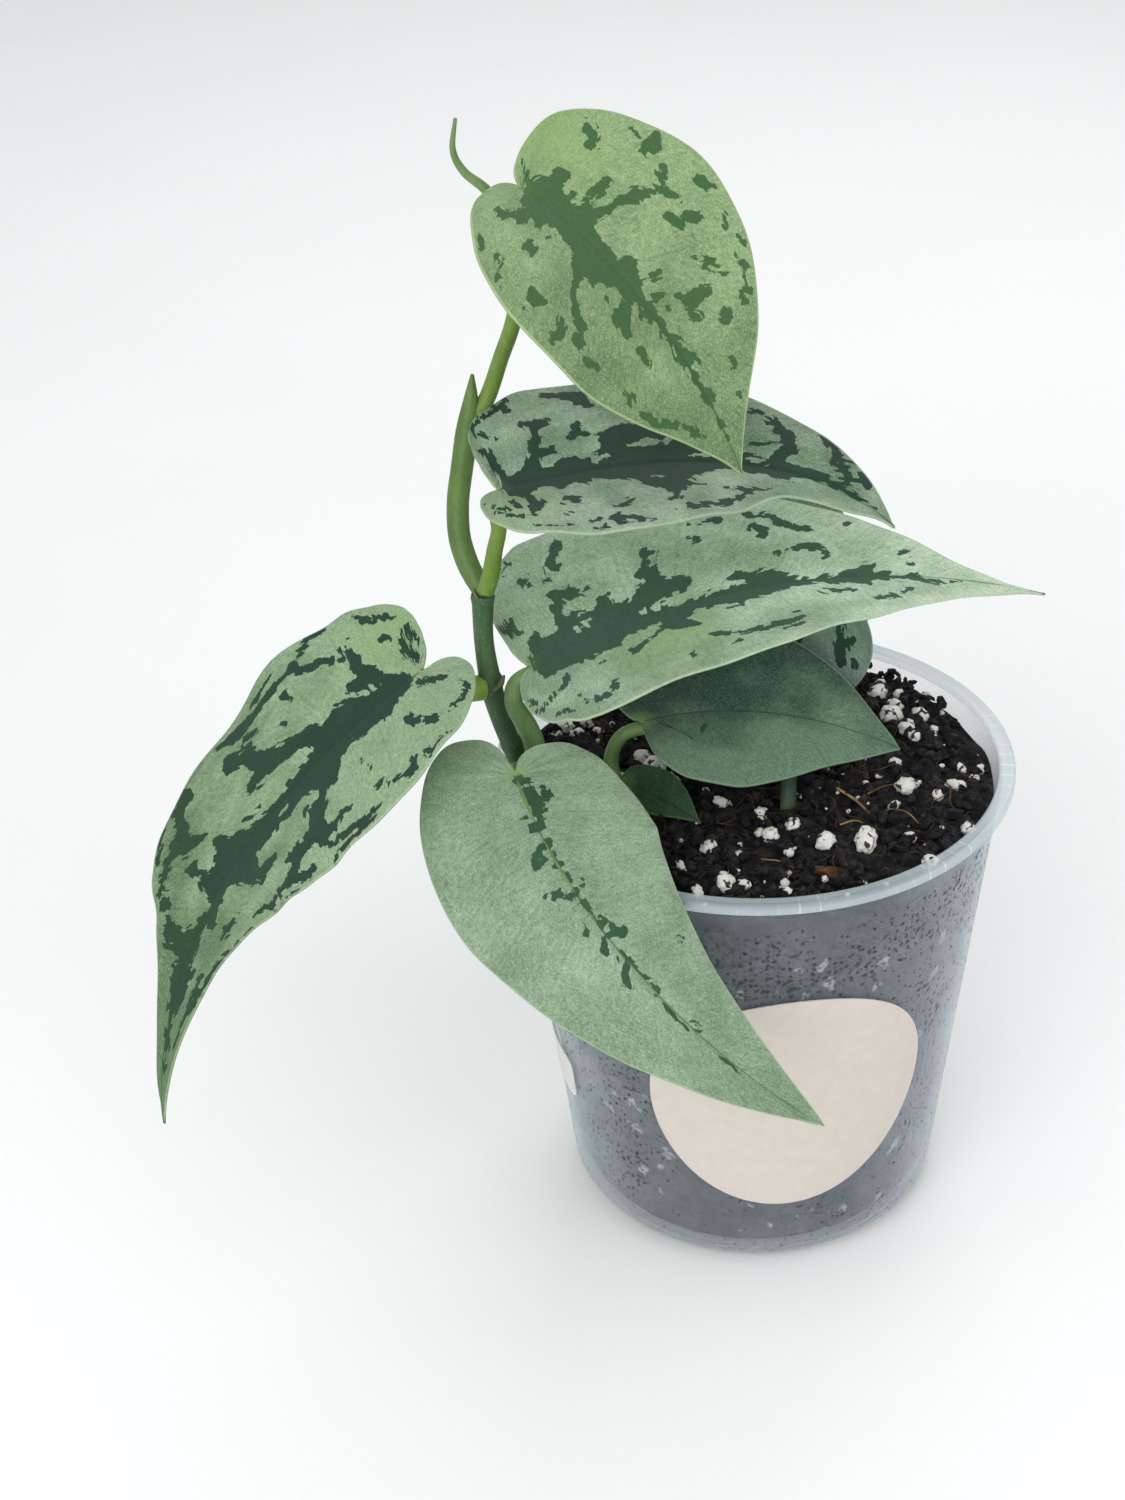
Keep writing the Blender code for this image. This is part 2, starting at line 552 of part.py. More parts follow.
def main():
    for old in list(bpy.data.objects):
        bpy.data.objects.remove(old)
    clear_plastic = material("clear_plastic", "9DA6AC", 0.35)
    potting_mix = material("peat_and_perlite", "241D1B", 0.95)
    paper = material("cream_paper", "D9CFC7", 0.8)
    silver_green = material("silver_green_leaf", "8FAE8C", 0.6)
    stem_green = material("stem_green", "55744A", 0.5)

    build_pot(clear_plastic)
    planted = [(STEM_PATH, STEM_RADII), (STUB_PATH, STUB_RADII)] + [STALKS[name] for name in ROOTED_LEAVES]
    holes = [(path[0][0], path[0][1], radii[0] + STEM_CLEARANCE) for path, radii in planted]
    build_soil(potting_mix, holes)
    build_label("label", LABEL_ANGLE, LABEL_CENTRE, paper, pebble, 4)
    build_label("small_label", SMALL_LABEL_ANGLE, SMALL_LABEL_CENTRE, paper, rounded_oblong, 2)

    build_tube("stem", STEM_PATH, STEM_RADII, stem_green)
    build_tube("stem_stub", STUB_PATH, STUB_RADII, stem_green)
    for name, leaf in LEAVES.items():
        grown = build_leaf(name, leaf, STALKS[name], silver_green, stem_green)
        if name == "leaf_top":
            combine(grown, build_tube("sheath", SHEATH_PATH, SHEATH_RADII, stem_green), "UNION")
            combine(grown, build_tube("new_leaf", NEW_LEAF_PATH, NEW_LEAF_RADII, stem_green), "UNION")


main()
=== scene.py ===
# %% [markdown]
# # A satin pothos in its clear pot
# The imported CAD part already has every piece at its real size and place. This lesson dresses it: each
# plain solid is swapped for a finer piece with a finish of its own. The plant is two kinds of shape,
# thin bent leaves and round stalks, and the pot and its soil are two turned ones.
#
# The frame is loaded first, because everything else is fitted to it. Its box is noted, so that the
# finished model can be compared with it at the end.

import math

import bpy
import numpy as np
from mathutils import Euler, Matrix, Vector


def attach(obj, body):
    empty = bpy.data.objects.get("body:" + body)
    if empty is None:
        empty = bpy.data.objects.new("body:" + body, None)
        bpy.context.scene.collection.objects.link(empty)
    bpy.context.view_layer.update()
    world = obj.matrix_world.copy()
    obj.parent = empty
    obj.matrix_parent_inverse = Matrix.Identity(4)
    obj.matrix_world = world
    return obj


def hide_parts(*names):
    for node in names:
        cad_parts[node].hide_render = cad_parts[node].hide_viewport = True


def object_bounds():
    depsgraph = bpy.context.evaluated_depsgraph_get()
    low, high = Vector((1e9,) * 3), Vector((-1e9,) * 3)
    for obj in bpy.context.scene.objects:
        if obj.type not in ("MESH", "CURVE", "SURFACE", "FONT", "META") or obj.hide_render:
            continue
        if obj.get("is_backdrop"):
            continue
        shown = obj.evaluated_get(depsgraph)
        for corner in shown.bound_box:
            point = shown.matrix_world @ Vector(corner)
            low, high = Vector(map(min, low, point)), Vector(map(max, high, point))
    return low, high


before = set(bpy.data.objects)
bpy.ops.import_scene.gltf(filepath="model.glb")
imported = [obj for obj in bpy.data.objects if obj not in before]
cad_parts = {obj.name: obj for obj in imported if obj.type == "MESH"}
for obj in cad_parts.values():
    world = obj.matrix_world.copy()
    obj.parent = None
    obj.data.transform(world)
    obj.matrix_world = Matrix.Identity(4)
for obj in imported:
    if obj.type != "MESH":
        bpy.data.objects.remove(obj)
cad_box = [list(corner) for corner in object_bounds()]
print("CAD nodes:", sorted(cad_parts))

# %% [markdown]
# ## Selecting, naming and finishing a piece
# Blender's operators act on whatever is selected, and a freshly loaded model is selected all over. So
# each piece is picked by itself before it is worked on. Sizes are in millimetres, as on a drawing, and
# MM turns them to metres. A finished piece is tied to the object's one body, and it hides the plain
# solid that it stands for.

# %% Helpers for pieces
MM = 0.001
MERGE_REACH = 0.005


def pick(piece):
    """Makes this piece the only one selected, and the active one."""
    bpy.ops.object.select_all(action="DESELECT")
    piece.select_set(True)
    bpy.context.view_layer.objects.active = piece


def named(name):
    """Names the piece that was just added, and its mesh."""
    piece = bpy.context.object
    piece.name = piece.data.name = name
    return piece


def apply(piece, kind, **settings):
    """Puts one modifier on a piece and applies it."""
    pick(piece)
    step = piece.modifiers.new(kind.lower(), kind)
    for setting, value in settings.items():
        setattr(step, setting, value)
    bpy.ops.object.modifier_apply(modifier=step.name)


def merge_points(piece, outwards=False):
    """Merges doubled points, and turns the faces outwards where that is asked for."""
    pick(piece)
    bpy.ops.object.mode_set(mode="EDIT")
    bpy.ops.mesh.select_all(action="SELECT")
    bpy.ops.mesh.remove_doubles(threshold=MERGE_REACH * MM)
    if outwards:
        bpy.ops.mesh.normals_make_consistent(inside=False)
    bpy.ops.object.mode_set(mode="OBJECT")


def close_up(piece, angle):
    """Closes the seams of a piece and smooths all its edges that are flatter than an angle."""
    merge_points(piece, outwards=True)
    bpy.ops.object.shade_smooth_by_angle(angle=math.radians(angle))


def join_into(piece, parts):
    """Makes one piece of a piece and some more parts."""
    pick(piece)
    for part in parts:
        part.select_set(True)
    bpy.ops.object.join()


def fit_in(piece, slot, *nodes):
    """The piece rides on the object's one body and stands for these CAD nodes."""
    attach(piece, "root")
    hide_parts(*nodes)
    print(piece.name, "has", len(piece.data.polygons), "faces and stands for", *nodes)


def read_points(piece):
    """The points of a mesh in millimetres, as an array."""
    flat = np.zeros(len(piece.data.vertices) * 3)
    piece.data.vertices.foreach_get("co", flat)
    return flat.reshape(-1, 3) / MM


def write_points(piece, points):
    """Moves the points of a mesh to these places in millimetres."""
    piece.data.vertices.foreach_set("co", (np.asarray(points) * MM).ravel())
    piece.data.update()


# %% [markdown]
# ## Colours and nodes
# A colour picked from a picture is an sRGB hex value, but Blender mixes light in linear values, so one
# function turns one into the other. Another fills the sockets of a node, and a third adds a node with
# its settings and sockets in one line. Scales count patterns per metre, so 1000 means one millimetre.

# %% Helpers for finishes
def colour(code):
    """An sRGB hex colour as linear red, green and blue, with full alpha."""
    parts = [int(code[i:i + 2], 16) / 255 for i in (0, 2, 4)]
    return tuple(p / 12.92 if p <= 0.04045 else ((p + 0.055) / 1.055) ** 2.4 for p in parts) + (1.0,)


def plug(tree, made, sockets):
    """Fills sockets with a value, a hex colour, an output, or the first output of a node that is in use."""
    for socket, value in sockets.items():
        if isinstance(value, str):
            value = colour(value)
        if isinstance(value, bpy.types.Node):
            value = next(output for output in value.outputs if output.enabled)
        if isinstance(value, bpy.types.NodeSocket):
            tree.links.new(value, made.inputs[socket])
        else:
            made.inputs[socket].default_value = value


def node(tree, kind, sockets, **settings):
    """Adds a node with these settings and fills its sockets."""
    made = tree.nodes.new("ShaderNode" + kind)
    for setting, value in settings.items():
        setattr(made, setting, value)
    plug(tree, made, sockets)
    return made


def new_finish(name, sockets):
    """A Principled material with these fixed values, and its node tree and shader."""
    made = bpy.data.materials.new(name)
    made.use_nodes = True
    shader = made.node_tree.nodes["Principled BSDF"]
    plug(made.node_tree, shader, sockets)
    return made, made.node_tree, shader


# %% [markdown]
# ## The camera
# The photograph looks down on the pot by about 32 degrees from two thirds of a metre away. Three small
# turns, as of a hand that holds the camera, put the plant at the right place in the frame.

# %% Camera
CAMERA_REACH = 603
CAMERA_RISE = 32.5
CAMERA_TARGET = 117
CAMERA_PAN, CAMERA_TILT, CAMERA_ROLL = -4.2, -0.1, -0.3
CAMERA_LENS = 62.4

rise = math.radians(CAMERA_RISE)
back = Vector((0, -math.cos(rise), math.sin(rise)))
level = Matrix((Vector((1, 0, 0)), back.cross(Vector((1, 0, 0))), back))
turns = (Matrix.Rotation(math.radians(CAMERA_ROLL), 3, "Z")
         @ Matrix.Rotation(math.radians(CAMERA_PAN), 3, "Y")
         @ Matrix.Rotation(math.radians(CAMERA_TILT), 3, "X") @ level)
bpy.ops.object.camera_add()
camera = bpy.context.object
camera.name = "camera"
camera.data.lens = CAMERA_LENS
camera.location = (Vector((0, 0, CAMERA_TARGET)) + back * CAMERA_REACH) * MM
camera.rotation_euler = turns.transposed().to_euler()
bpy.context.scene.camera = camera
print("camera stands at", [round(v / MM) for v in camera.location], "mm")

# %% [markdown]
# ## Floor and light
# A plant is photographed in soft light from all round, or its satin leaves glare. The world gives
# most of the light, one broad lamp from the upper left gives the shapes a bright side, and a weaker
# one from the right keeps the shadows open. The floor is a plain pale sheet of paper.

# %% Floor and lamps
FLOOR_SIZE = 6000
LAMPS = {"key_lamp": ((-340, -820, 640), 700, 5.6), "fill_lamp": ((760, -420, 520), 700, 1.8),
         "back_lamp": ((150, 700, 800), 600, 2.2)}
LAMP_AIM = Vector((-10, 0, 130))
WORLD_STRENGTH = 0.74

bpy.ops.mesh.primitive_plane_add(size=FLOOR_SIZE * MM)
floor = named("floor")
floor_finish, tree, shader = new_finish("matt_studio_paper", {"Roughness": 0.9})
grain = node(tree, "TexNoise", {"Scale": 40.0, "Detail": 3.0})
tint = node(tree, "Mix", {0: grain, 6: "F4F4F3", 7: "FAFAF9"}, data_type="RGBA")
plug(tree, shader, {"Base Color": tint})
floor.data.materials.append(floor_finish)
floor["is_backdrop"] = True

for name, (place, size, power) in LAMPS.items():
    bpy.ops.object.light_add(type="AREA", location=Vector(place) * MM)
    lamp = bpy.context.object
    lamp.name = name
    lamp.data.size = size * MM
    lamp.data.energy = power
    lamp.rotation_euler = (LAMP_AIM - Vector(place)).to_track_quat("-Z", "Y").to_euler()

world = bpy.data.worlds.new("soft_studio")
world.use_nodes = True
tree = world.node_tree
plug(tree, tree.nodes["Background"], {"Color": "F3F6F8", "Strength": WORLD_STRENGTH})
bpy.context.scene.world = world
bpy.context.scene.view_settings.view_transform = "Standard"
print(len(LAMPS), "lamps and a world light the scene")

# %% [markdown]
# ## Turning on a lathe
# The pot and the soil in it are round, so both are turned: a single point is drawn out along one side
# of the shape, and that line is spun about the upright axis. Spin leaves a double seam, and one point
# per step where the line meets the axis, so the doubles are merged afterwards.

# %% Turn a profile
def arc(centre, radius, start, end, count):
    """Points on an arc of a (radius, height) profile."""
    angles = np.radians(np.linspace(start, end, count))
    return [(centre[0] + radius * math.cos(a), centre[1] + radius * math.sin(a)) for a in angles]


def turned(name, profile, steps):
    """A solid of revolution about Z from a (radius, height) profile."""
    bpy.ops.mesh.primitive_plane_add(size=2 * MM, location=(0, 0, 0))
    piece = named(name)
    bpy.ops.object.mode_set(mode="EDIT")
    bpy.ops.mesh.select_mode(type="VERT")
    bpy.ops.mesh.select_all(action="SELECT")
    bpy.ops.mesh.merge(type="CENTER")
    bpy.ops.transform.translate(value=(profile[0][0] * MM, 0, profile[0][1] * MM))
    for (radius, height), (last_radius, last_height) in zip(profile[1:], profile):
        step = ((radius - last_radius) * MM, 0, (height - last_height) * MM)
        bpy.ops.mesh.extrude_region_move(TRANSFORM_OT_translate={"value": step})
    bpy.ops.mesh.select_all(action="SELECT")
    bpy.ops.mesh.spin(steps=steps, angle=2 * math.pi, center=(0, 0, 0), axis=(0, 0, 1))
    bpy.ops.object.mode_set(mode="OBJECT")
    return piece


# %% [markdown]
# ## The pot
# A grower's pot is thin polypropylene, injection moulded: a tapered wall about 1 mm thick, a rounded
# heel, and a rim turned out flat that the pot is lifted by. The wall could be a cone given a thickness,
# but the rim and the heel have a section of their own, so the whole section is drawn and turned once.

# %% Pot shape
POT_HEIGHT = 117.0
RIM_RADIUS = 60.0
RIM_DEPTH = 2.5
WALL = 1.0
WALL_TOP_RADIUS, WALL_BASE_RADIUS = 57.0, 44.2
HEEL_RADIUS = 7.5
BASE_FLAT = 20
POT_STEPS = 160
SEAM_ANGLE = 40


def wall_radius(height):
    """Outer radius of the tapered wall at a height."""
    share = height / (POT_HEIGHT - RIM_DEPTH)
    return WALL_BASE_RADIUS + (WALL_TOP_RADIUS - WALL_BASE_RADIUS) * share


under_rim = POT_HEIGHT - RIM_DEPTH
heel = (wall_radius(HEEL_RADIUS) - HEEL_RADIUS, HEEL_RADIUS)
profile = [(0, 0), (BASE_FLAT, 0)] + arc(heel, HEEL_RADIUS, -90, 0, 10)
profile += [(wall_radius(z), z) for z in (30, 60, 90, 112)] + [(WALL_TOP_RADIUS + 0.1, under_rim - 0.2)]
profile += [(WALL_TOP_RADIUS + 0.5, under_rim), (59.2, under_rim)]
profile += arc((59.3, POT_HEIGHT - 1.8), 0.7, -90, 0, 5) + arc((59.2, POT_HEIGHT - 0.8), 0.8, 0, 90, 5)
profile += [(58.6, POT_HEIGHT), (58.3, POT_HEIGHT - 0.15), (57.9, POT_HEIGHT - 0.15), (57.6, POT_HEIGHT)]
profile += arc((56.8, POT_HEIGHT - 0.7), 0.7, 90, 180, 5) + [(WALL_TOP_RADIUS - WALL, under_rim)]
profile += [(wall_radius(z) - WALL, z) for z in (90, 60, 30)]
profile += arc(heel, HEEL_RADIUS - WALL, 0, -90, 8) + [(BASE_FLAT, WALL), (0, WALL)]
pot = turned("pot_shell", profile, POT_STEPS)
close_up(pot, SEAM_ANGLE)
print("the pot's section has", len(profile), "points")

# %% [markdown]
# Water leaves through six holes in the base. One drill is modelled, spun into six, and cut out.

# %% Drain holes
DRAIN_COUNT, DRAIN_RADIUS, DRAIN_CIRCLE = 6, 3.5, 26.0
DRILL_LENGTH = 6

bpy.ops.mesh.primitive_cylinder_add(vertices=32, radius=DRAIN_RADIUS * MM, depth=DRILL_LENGTH * MM,
                                    location=(0, 0, 0))
drill = named("drain_drill")
bpy.ops.object.mode_set(mode="EDIT")
bpy.ops.mesh.select_all(action="SELECT")
bpy.ops.transform.translate(value=(DRAIN_CIRCLE * MM, 0, 0))
bpy.ops.mesh.spin(steps=DRAIN_COUNT - 1, dupli=True, angle=2 * math.pi * (DRAIN_COUNT - 1) / DRAIN_COUNT,
                  center=(0, 0, 0), axis=(0, 0, 1))
bpy.ops.object.mode_set(mode="OBJECT")
apply(pot, "BOOLEAN", operation="DIFFERENCE", object=drill, solver="EXACT")
bpy.data.objects.remove(drill)
close_up(pot, SEAM_ANGLE)
print("drain holes cut:", DRAIN_COUNT)

# %% [markdown]
# The plastic is natural polypropylene with no dye. It lets the dark soil show through a milky haze, so
# it is drawn as a pale, mostly see-through surface that is whiter where it is seen at a slant. Smears of
# about 14 mm make the haze uneven. Specks of soil stick to the inside, up to 3 mm below the top of the
# soil. Each is a cell of a Voronoi pattern of 1.2 mm, torn at its edge by a noise of 1 mm. They crowd
# together higher up.

# %% Milky polypropylene
SPECK_TOP = 108
SPECK_CROWDING = 3.0
SMALLEST_SPECK, LARGEST_SPECK = 0.06, 0.37
SPECK_DENSITY = 0.42

milky_wall, tree, shader = new_finish("milky_polypropylene_wall", {"Roughness": 0.36, "IOR": 1.49,
                                                                   "Specular IOR Level": 0.4})
place = node(tree, "TexCoord", {}).outputs["Object"]
smear = node(tree, "TexNoise", {"Vector": place, "Scale": 70.0, "Detail": 5.0, "Roughness": 0.62})
haze = node(tree, "MapRange", {"Value": smear, "From Min": 0.3, "From Max": 0.75, "To Min": 0.08,
                               "To Max": 0.14})
slant = node(tree, "LayerWeight", {"Blend": 0.5})
thick = node(tree, "Math", {0: slant.outputs["Facing"], 1: 3.0}, operation="POWER")
veil = node(tree, "Math", {0: thick, 1: 0.8, 2: haze}, operation="MULTIPLY_ADD")

flecks = node(tree, "TexVoronoi", {"Vector": place, "Scale": 820.0})
wobble = node(tree, "TexNoise", {"Vector": place, "Scale": 1000.0, "Detail": 3.0})
height = node(tree, "SeparateXYZ", {0: place}).outputs[2]
random = node(tree, "SeparateColor", {0: flecks.outputs["Color"]})
region = node(tree, "TexNoise", {"Vector": place, "Scale": 45.0, "Detail": 2.0})
higher = node(tree, "Math", {0: height, 1: SPECK_CROWDING, 2: region}, operation="MULTIPLY_ADD")
crowd = node(tree, "MapRange", {"Value": higher, "From Min": 0.5, "From Max": 0.9,
                                "To Min": SMALLEST_SPECK, "To Max": LARGEST_SPECK})
grown = node(tree, "Math", {0: random, 1: 0.5, 2: crowd}, operation="MULTIPLY_ADD")
torn = node(tree, "Math", {0: wobble, 1: 1.1, 2: flecks}, operation="MULTIPLY_ADD")
inside = node(tree, "Math", {0: grown, 1: torn}, operation="SUBTRACT")
speck = node(tree, "MapRange", {"Value": inside, "From Min": -0.3, "From Max": -0.22})
below = node(tree, "Math", {0: height, 1: SPECK_TOP * MM}, operation="LESS_THAN")
fleck = node(tree, "Math", {0: speck, 1: below}, operation="MULTIPLY")

solid = node(tree, "Mix", {0: fleck, 2: veil, 3: SPECK_DENSITY}, data_type="FLOAT")
tone = node(tree, "Mix", {0: smear, 6: "A6B3BE", 7: "CCD5D9"}, data_type="RGBA")
speckled = node(tree, "Mix", {0: fleck, 6: tone, 7: "33383E"}, data_type="RGBA")
plug(tree, shader, {"Base Color": speckled, "Alpha": solid})
print("specks of soil up to", SPECK_TOP, "mm")

# %% [markdown]
# The rim is the same plastic, but thicker, so only half of the light gets through and it looks nearly
# white. Fine pale marks run across it, about 4.5 mm apart, and show in some places only.

# %% Rim
RIM_MARKS = 84
RIM_FROM, RIM_INSIDE = 0.5, 0.3

milky_rim, tree, shader = new_finish("milky_polypropylene_rim", {"Roughness": 0.3, "IOR": 1.49,
                                                                 "Alpha": 0.5})
place = node(tree, "TexCoord", {}).outputs["Object"]
split = node(tree, "SeparateXYZ", {0: place})
angle = node(tree, "Math", {0: split.outputs[1], 1: split.outputs[0]}, operation="ARCTAN2")
turn = node(tree, "Math", {0: angle, 1: RIM_MARKS}, operation="MULTIPLY")
swing = node(tree, "Math", {0: turn}, operation="SINE")
tick = node(tree, "MapRange", {"Value": swing, "From Min": 0.93, "From Max": 1.0})
patch = node(tree, "TexNoise", {"Vector": place, "Scale": 60.0, "Detail": 3.0})
some = node(tree, "MapRange", {"Value": patch, "From Min": 0.5, "From Max": 0.62})
shown = node(tree, "Math", {0: tick, 1: some}, operation="MULTIPLY")
cloud = node(tree, "Mix", {0: patch, 6: "BBC7CC", 7: "D0DADE"}, data_type="RGBA")
paint = node(tree, "Mix", {0: shown, 6: cloud, 7: "F4F8FA"}, data_type="RGBA")
plug(tree, shader, {"Base Color": paint})

pot.data.materials.append(milky_wall)
pot.data.materials.append(milky_rim)
for face in pot.data.polygons:
    outward = math.hypot(face.center.x, face.center.y) > (WALL_TOP_RADIUS - WALL + RIM_INSIDE) * MM
    face.material_index = int(face.center.z > (under_rim - RIM_FROM) * MM and outward)
fit_in(pot, "clear_plastic", "pot")

# %% [markdown]
# ## The root ball
# What fills the pot is peat with roots and perlite in it. Its side lies against the clear wall, so it is
# turned with the same taper, 0.3 mm inside it. Its top is loose, so it gets rings about 1 mm apart that
# can be pushed up and down: first into the low waves that the CAD part has, then by three Displace
# modifiers, for lumps, crumbs and grains. A vertex group keeps the side smooth.

# %% Root ball
SOIL_LEVEL = 111.0
SOIL_WAVES = ((0.6, 34, 20), (0.5, 23, 75), (0.35, 17, 140))
SOIL_HEEL = 12.0
SOIL_INSIDE = WALL + 0.3
SOIL_BASE = 18
SOIL_STEPS = 300
SOIL_RINGS = 54
SOIL_EDGE = 0.5
SOIL_NOISES = (("lumps", 6.5, 3.6), ("crumbs", 3.0, 2.8), ("grains", 1.3, 1.2))


def soil_height(x, y):
    """Height of the rolling top of the soil."""
    height = SOIL_LEVEL
    for rise, length, angle in SOIL_WAVES:
        turn = math.radians(angle)
        height += rise * np.sin(2 * math.pi * (x * math.cos(turn) + y * math.sin(turn)) / length + turn)
    return height


soil_reach = wall_radius(SOIL_LEVEL) - SOIL_INSIDE
soil_heel = (wall_radius(SOIL_HEEL) - SOIL_INSIDE - SOIL_HEEL, SOIL_HEEL + SOIL_INSIDE)
profile = [(0, SOIL_INSIDE), (SOIL_BASE, SOIL_INSIDE)] + arc(soil_heel, SOIL_HEEL, -90, 0, 7)
profile += [(wall_radius(z) - SOIL_INSIDE, z) for z in np.linspace(SOIL_BASE, SOIL_LEVEL - 1, 24)]
profile += [(soil_reach * (1 - k / SOIL_RINGS), SOIL_LEVEL) for k in range(SOIL_RINGS + 1)]
soil = turned("root_ball", profile, SOIL_STEPS)
close_up(soil, 60)

points = read_points(soil)
on_top = points[:, 2] > SOIL_LEVEL - 0.01
points[on_top, 2] = soil_height(points[on_top, 0], points[on_top, 1])
write_points(soil, points)
top = soil.vertex_groups.new(name="top")
inner = np.hypot(points[:, 0], points[:, 1]) < soil_reach - SOIL_EDGE
top.add([int(k) for k in np.nonzero(on_top & inner)[0]], 1.0, "REPLACE")
for name, size, strength in SOIL_NOISES:
    cloud = bpy.data.textures.new("soil_" + name, "CLOUDS")
    cloud.noise_scale = size * MM
    cloud.noise_depth = 1
    apply(soil, "DISPLACE", texture=cloud, texture_coords="LOCAL", direction="Z", mid_level=0.5,
          strength=strength * MM, vertex_group="top")
print("root ball:", len(soil.data.polygons), "faces")

# %% [markdown]
# Wet peat is nearly black, with brown where fibre shows. The finish mixes the two in patches of about
# 3 mm, with grit of 0.7 mm in the bump. Against the wall it also shows pale perlite, as ragged spots up
# to 4 mm wide.

# %% Peat finish
PEAT_SKIN = 4


def peat_finish(name, dark, brown, seen_through_wall):
    """Crumbly peat. On the side that lies against the wall it has perlite spots too."""
    made, tree, shader = new_finish(name, {"Roughness": 0.92, "Specular IOR Level": 0.25})
    place = node(tree, "TexCoord", {}).outputs["Object"]
    patch = node(tree, "TexNoise", {"Vector": place, "Scale": 320.0, "Detail": 5.0, "Roughness": 0.7})
    share = node(tree, "MapRange", {"Value": patch, "From Min": 0.48, "From Max": 0.66})
    paint = node(tree, "Mix", {0: share, 6: dark, 7: brown}, data_type="RGBA")
    if seen_through_wall:
        spots = node(tree, "TexVoronoi", {"Vector": place, "Scale": 165.0})
        ragged = node(tree, "TexNoise", {"Vector": place, "Scale": 480.0})
        random = node(tree, "SeparateColor", {0: spots.outputs["Color"]})
        few = node(tree, "Math", {0: random, 1: 0.4}, operation="GREATER_THAN")
        size = node(tree, "MapRange", {"Value": random.outputs[1], "To Min": 0.38, "To Max": 0.76})
        reach = node(tree, "Math", {0: ragged, 1: spots}, operation="ADD")
        near = node(tree, "Math", {0: size, 1: reach}, operation="SUBTRACT")
        soft = node(tree, "MapRange", {"Value": near, "From Min": -0.12, "From Max": 0.04})
        shown = node(tree, "Math", {0: soft, 1: few}, operation="MULTIPLY")
        paint = node(tree, "Mix", {0: shown, 6: paint, 7: "979B9A"}, data_type="RGBA")
    grit = node(tree, "TexNoise", {"Vector": place, "Scale": 1400.0, "Detail": 3.0})
    bump = node(tree, "Bump", {"Strength": 0.8, "Distance": 0.5 * MM, "Height": grit})
    plug(tree, shader, {"Base Color": paint, "Normal": bump})
    return made


loose_peat = peat_finish("moist_peat", "0F1115", "3A3431", False)
pressed_peat = peat_finish("peat_behind_the_wall", "0E0D10", "38332F", True)
soil.data.materials.append(pressed_peat)
soil.data.materials.append(loose_peat)
for face in soil.data.polygons:
    face.material_index = int(face.center.z > (SOIL_LEVEL - PEAT_SKIN) * MM)
fit_in(soil, "potting_mix", "soil")

# %% [markdown]
# ## Round stems and stalks
# A stem could be a row of cylinders, but a curve with a round bevel bends smoothly and can swell and
# thin as it goes. The path runs through the same points as the CAD part's. Short swellings make the
# rings where an old leaf or bud sat.

# %% Draw a stalk
STALK_STEP = 1.0


def smooth_path(points, radii, step):
    """Evenly spaced points and radii on a smooth curve through a few chosen ones."""
    rows = np.concatenate([np.array(points, float), np.array(radii, float)[:, None]], 1)
    rows = np.concatenate([[2 * rows[0] - rows[1]], rows, [2 * rows[-1] - rows[-2]]])
    out = []
    for a, b, c, d in zip(rows, rows[1:], rows[2:], rows[3:]):
        count = max(1, round(float(np.linalg.norm((c - b)[:3])) / step))
        for s in np.arange(count) / count:
            out.append(0.5 * (2 * b + (c - a) * s + (2 * a - 5 * b + 4 * c - d) * s ** 2
                              + (3 * b - a - 3 * c + d) * s ** 3))
    out.append(rows[-2])
    return np.array(out)[:, :3], np.array(out)[:, 3]


def stalk(name, points, radii, finish, rings=(), step=STALK_STEP, roundness=5):
    """A round stalk as a mesh. rings are (height in space, swelling, width) of the rings round it."""
    path, reach = smooth_path(points, radii, step)
    for height, swelling, width in rings:
        reach = reach + swelling * np.exp(-((path[:, 2] - height) / width) ** 2)
    bpy.ops.curve.primitive_bezier_curve_add()
    piece = named(name)
    line = piece.data
    line.splines.clear()
    run = line.splines.new("POLY")
    run.points.add(len(path) - 1)
    for point, place, radius in zip(run.points, path, reach):
        point.co = (*(place * MM), 1.0)
        point.radius = radius
    line.dimensions = "3D"
    line.bevel_depth = MM
    line.bevel_resolution = roundness
    line.use_fill_caps = True
    line.materials.append(finish)
    pick(piece)
    bpy.ops.object.convert(target="MESH")
    piece = bpy.context.object
    close_up(piece, 50)
    return piece


# %% [markdown]
# ## Crumbs, perlite and roots
# Thousands of crumbs lie on the soil. A particle system would strew them, but it leaves nothing to edit,
# so one crumb of twenty faces is modelled and its points are copied to each place, stretched and turned
# at random, all into one mesh. More of them are heaped against the wall at the back right, where the
# photograph shows soil thrown up. Perlite is done the same way with a rounder and finer lump.

# %% Strew copies of a model
CRUMB_COUNT, CRUMB_SIZES = 2700, (0.35, 2.0)
HEAP_COUNT, HEAP_TURNS = 170, (0.45, 1.35)
HEAP_WIDTH, HEAP_HEIGHT = 4.0, 4.2
draw = np.random.default_rng(21)


def knobbly(name, level, uneven):
    """A rough lump of radius 1 mm: an icosphere whose points are moved about."""
    bpy.ops.mesh.primitive_ico_sphere_add(subdivisions=level, radius=MM)
    piece = named(name)
    bpy.ops.object.mode_set(mode="EDIT")
    bpy.ops.mesh.select_all(action="SELECT")
    bpy.ops.transform.vertex_random(offset=uneven * MM, uniform=0.5, normal=0.9, seed=level)
    if level > 2:
        bpy.ops.mesh.vertices_smooth(factor=0.5, repeat=1)
    bpy.ops.object.mode_set(mode="OBJECT")
    return piece


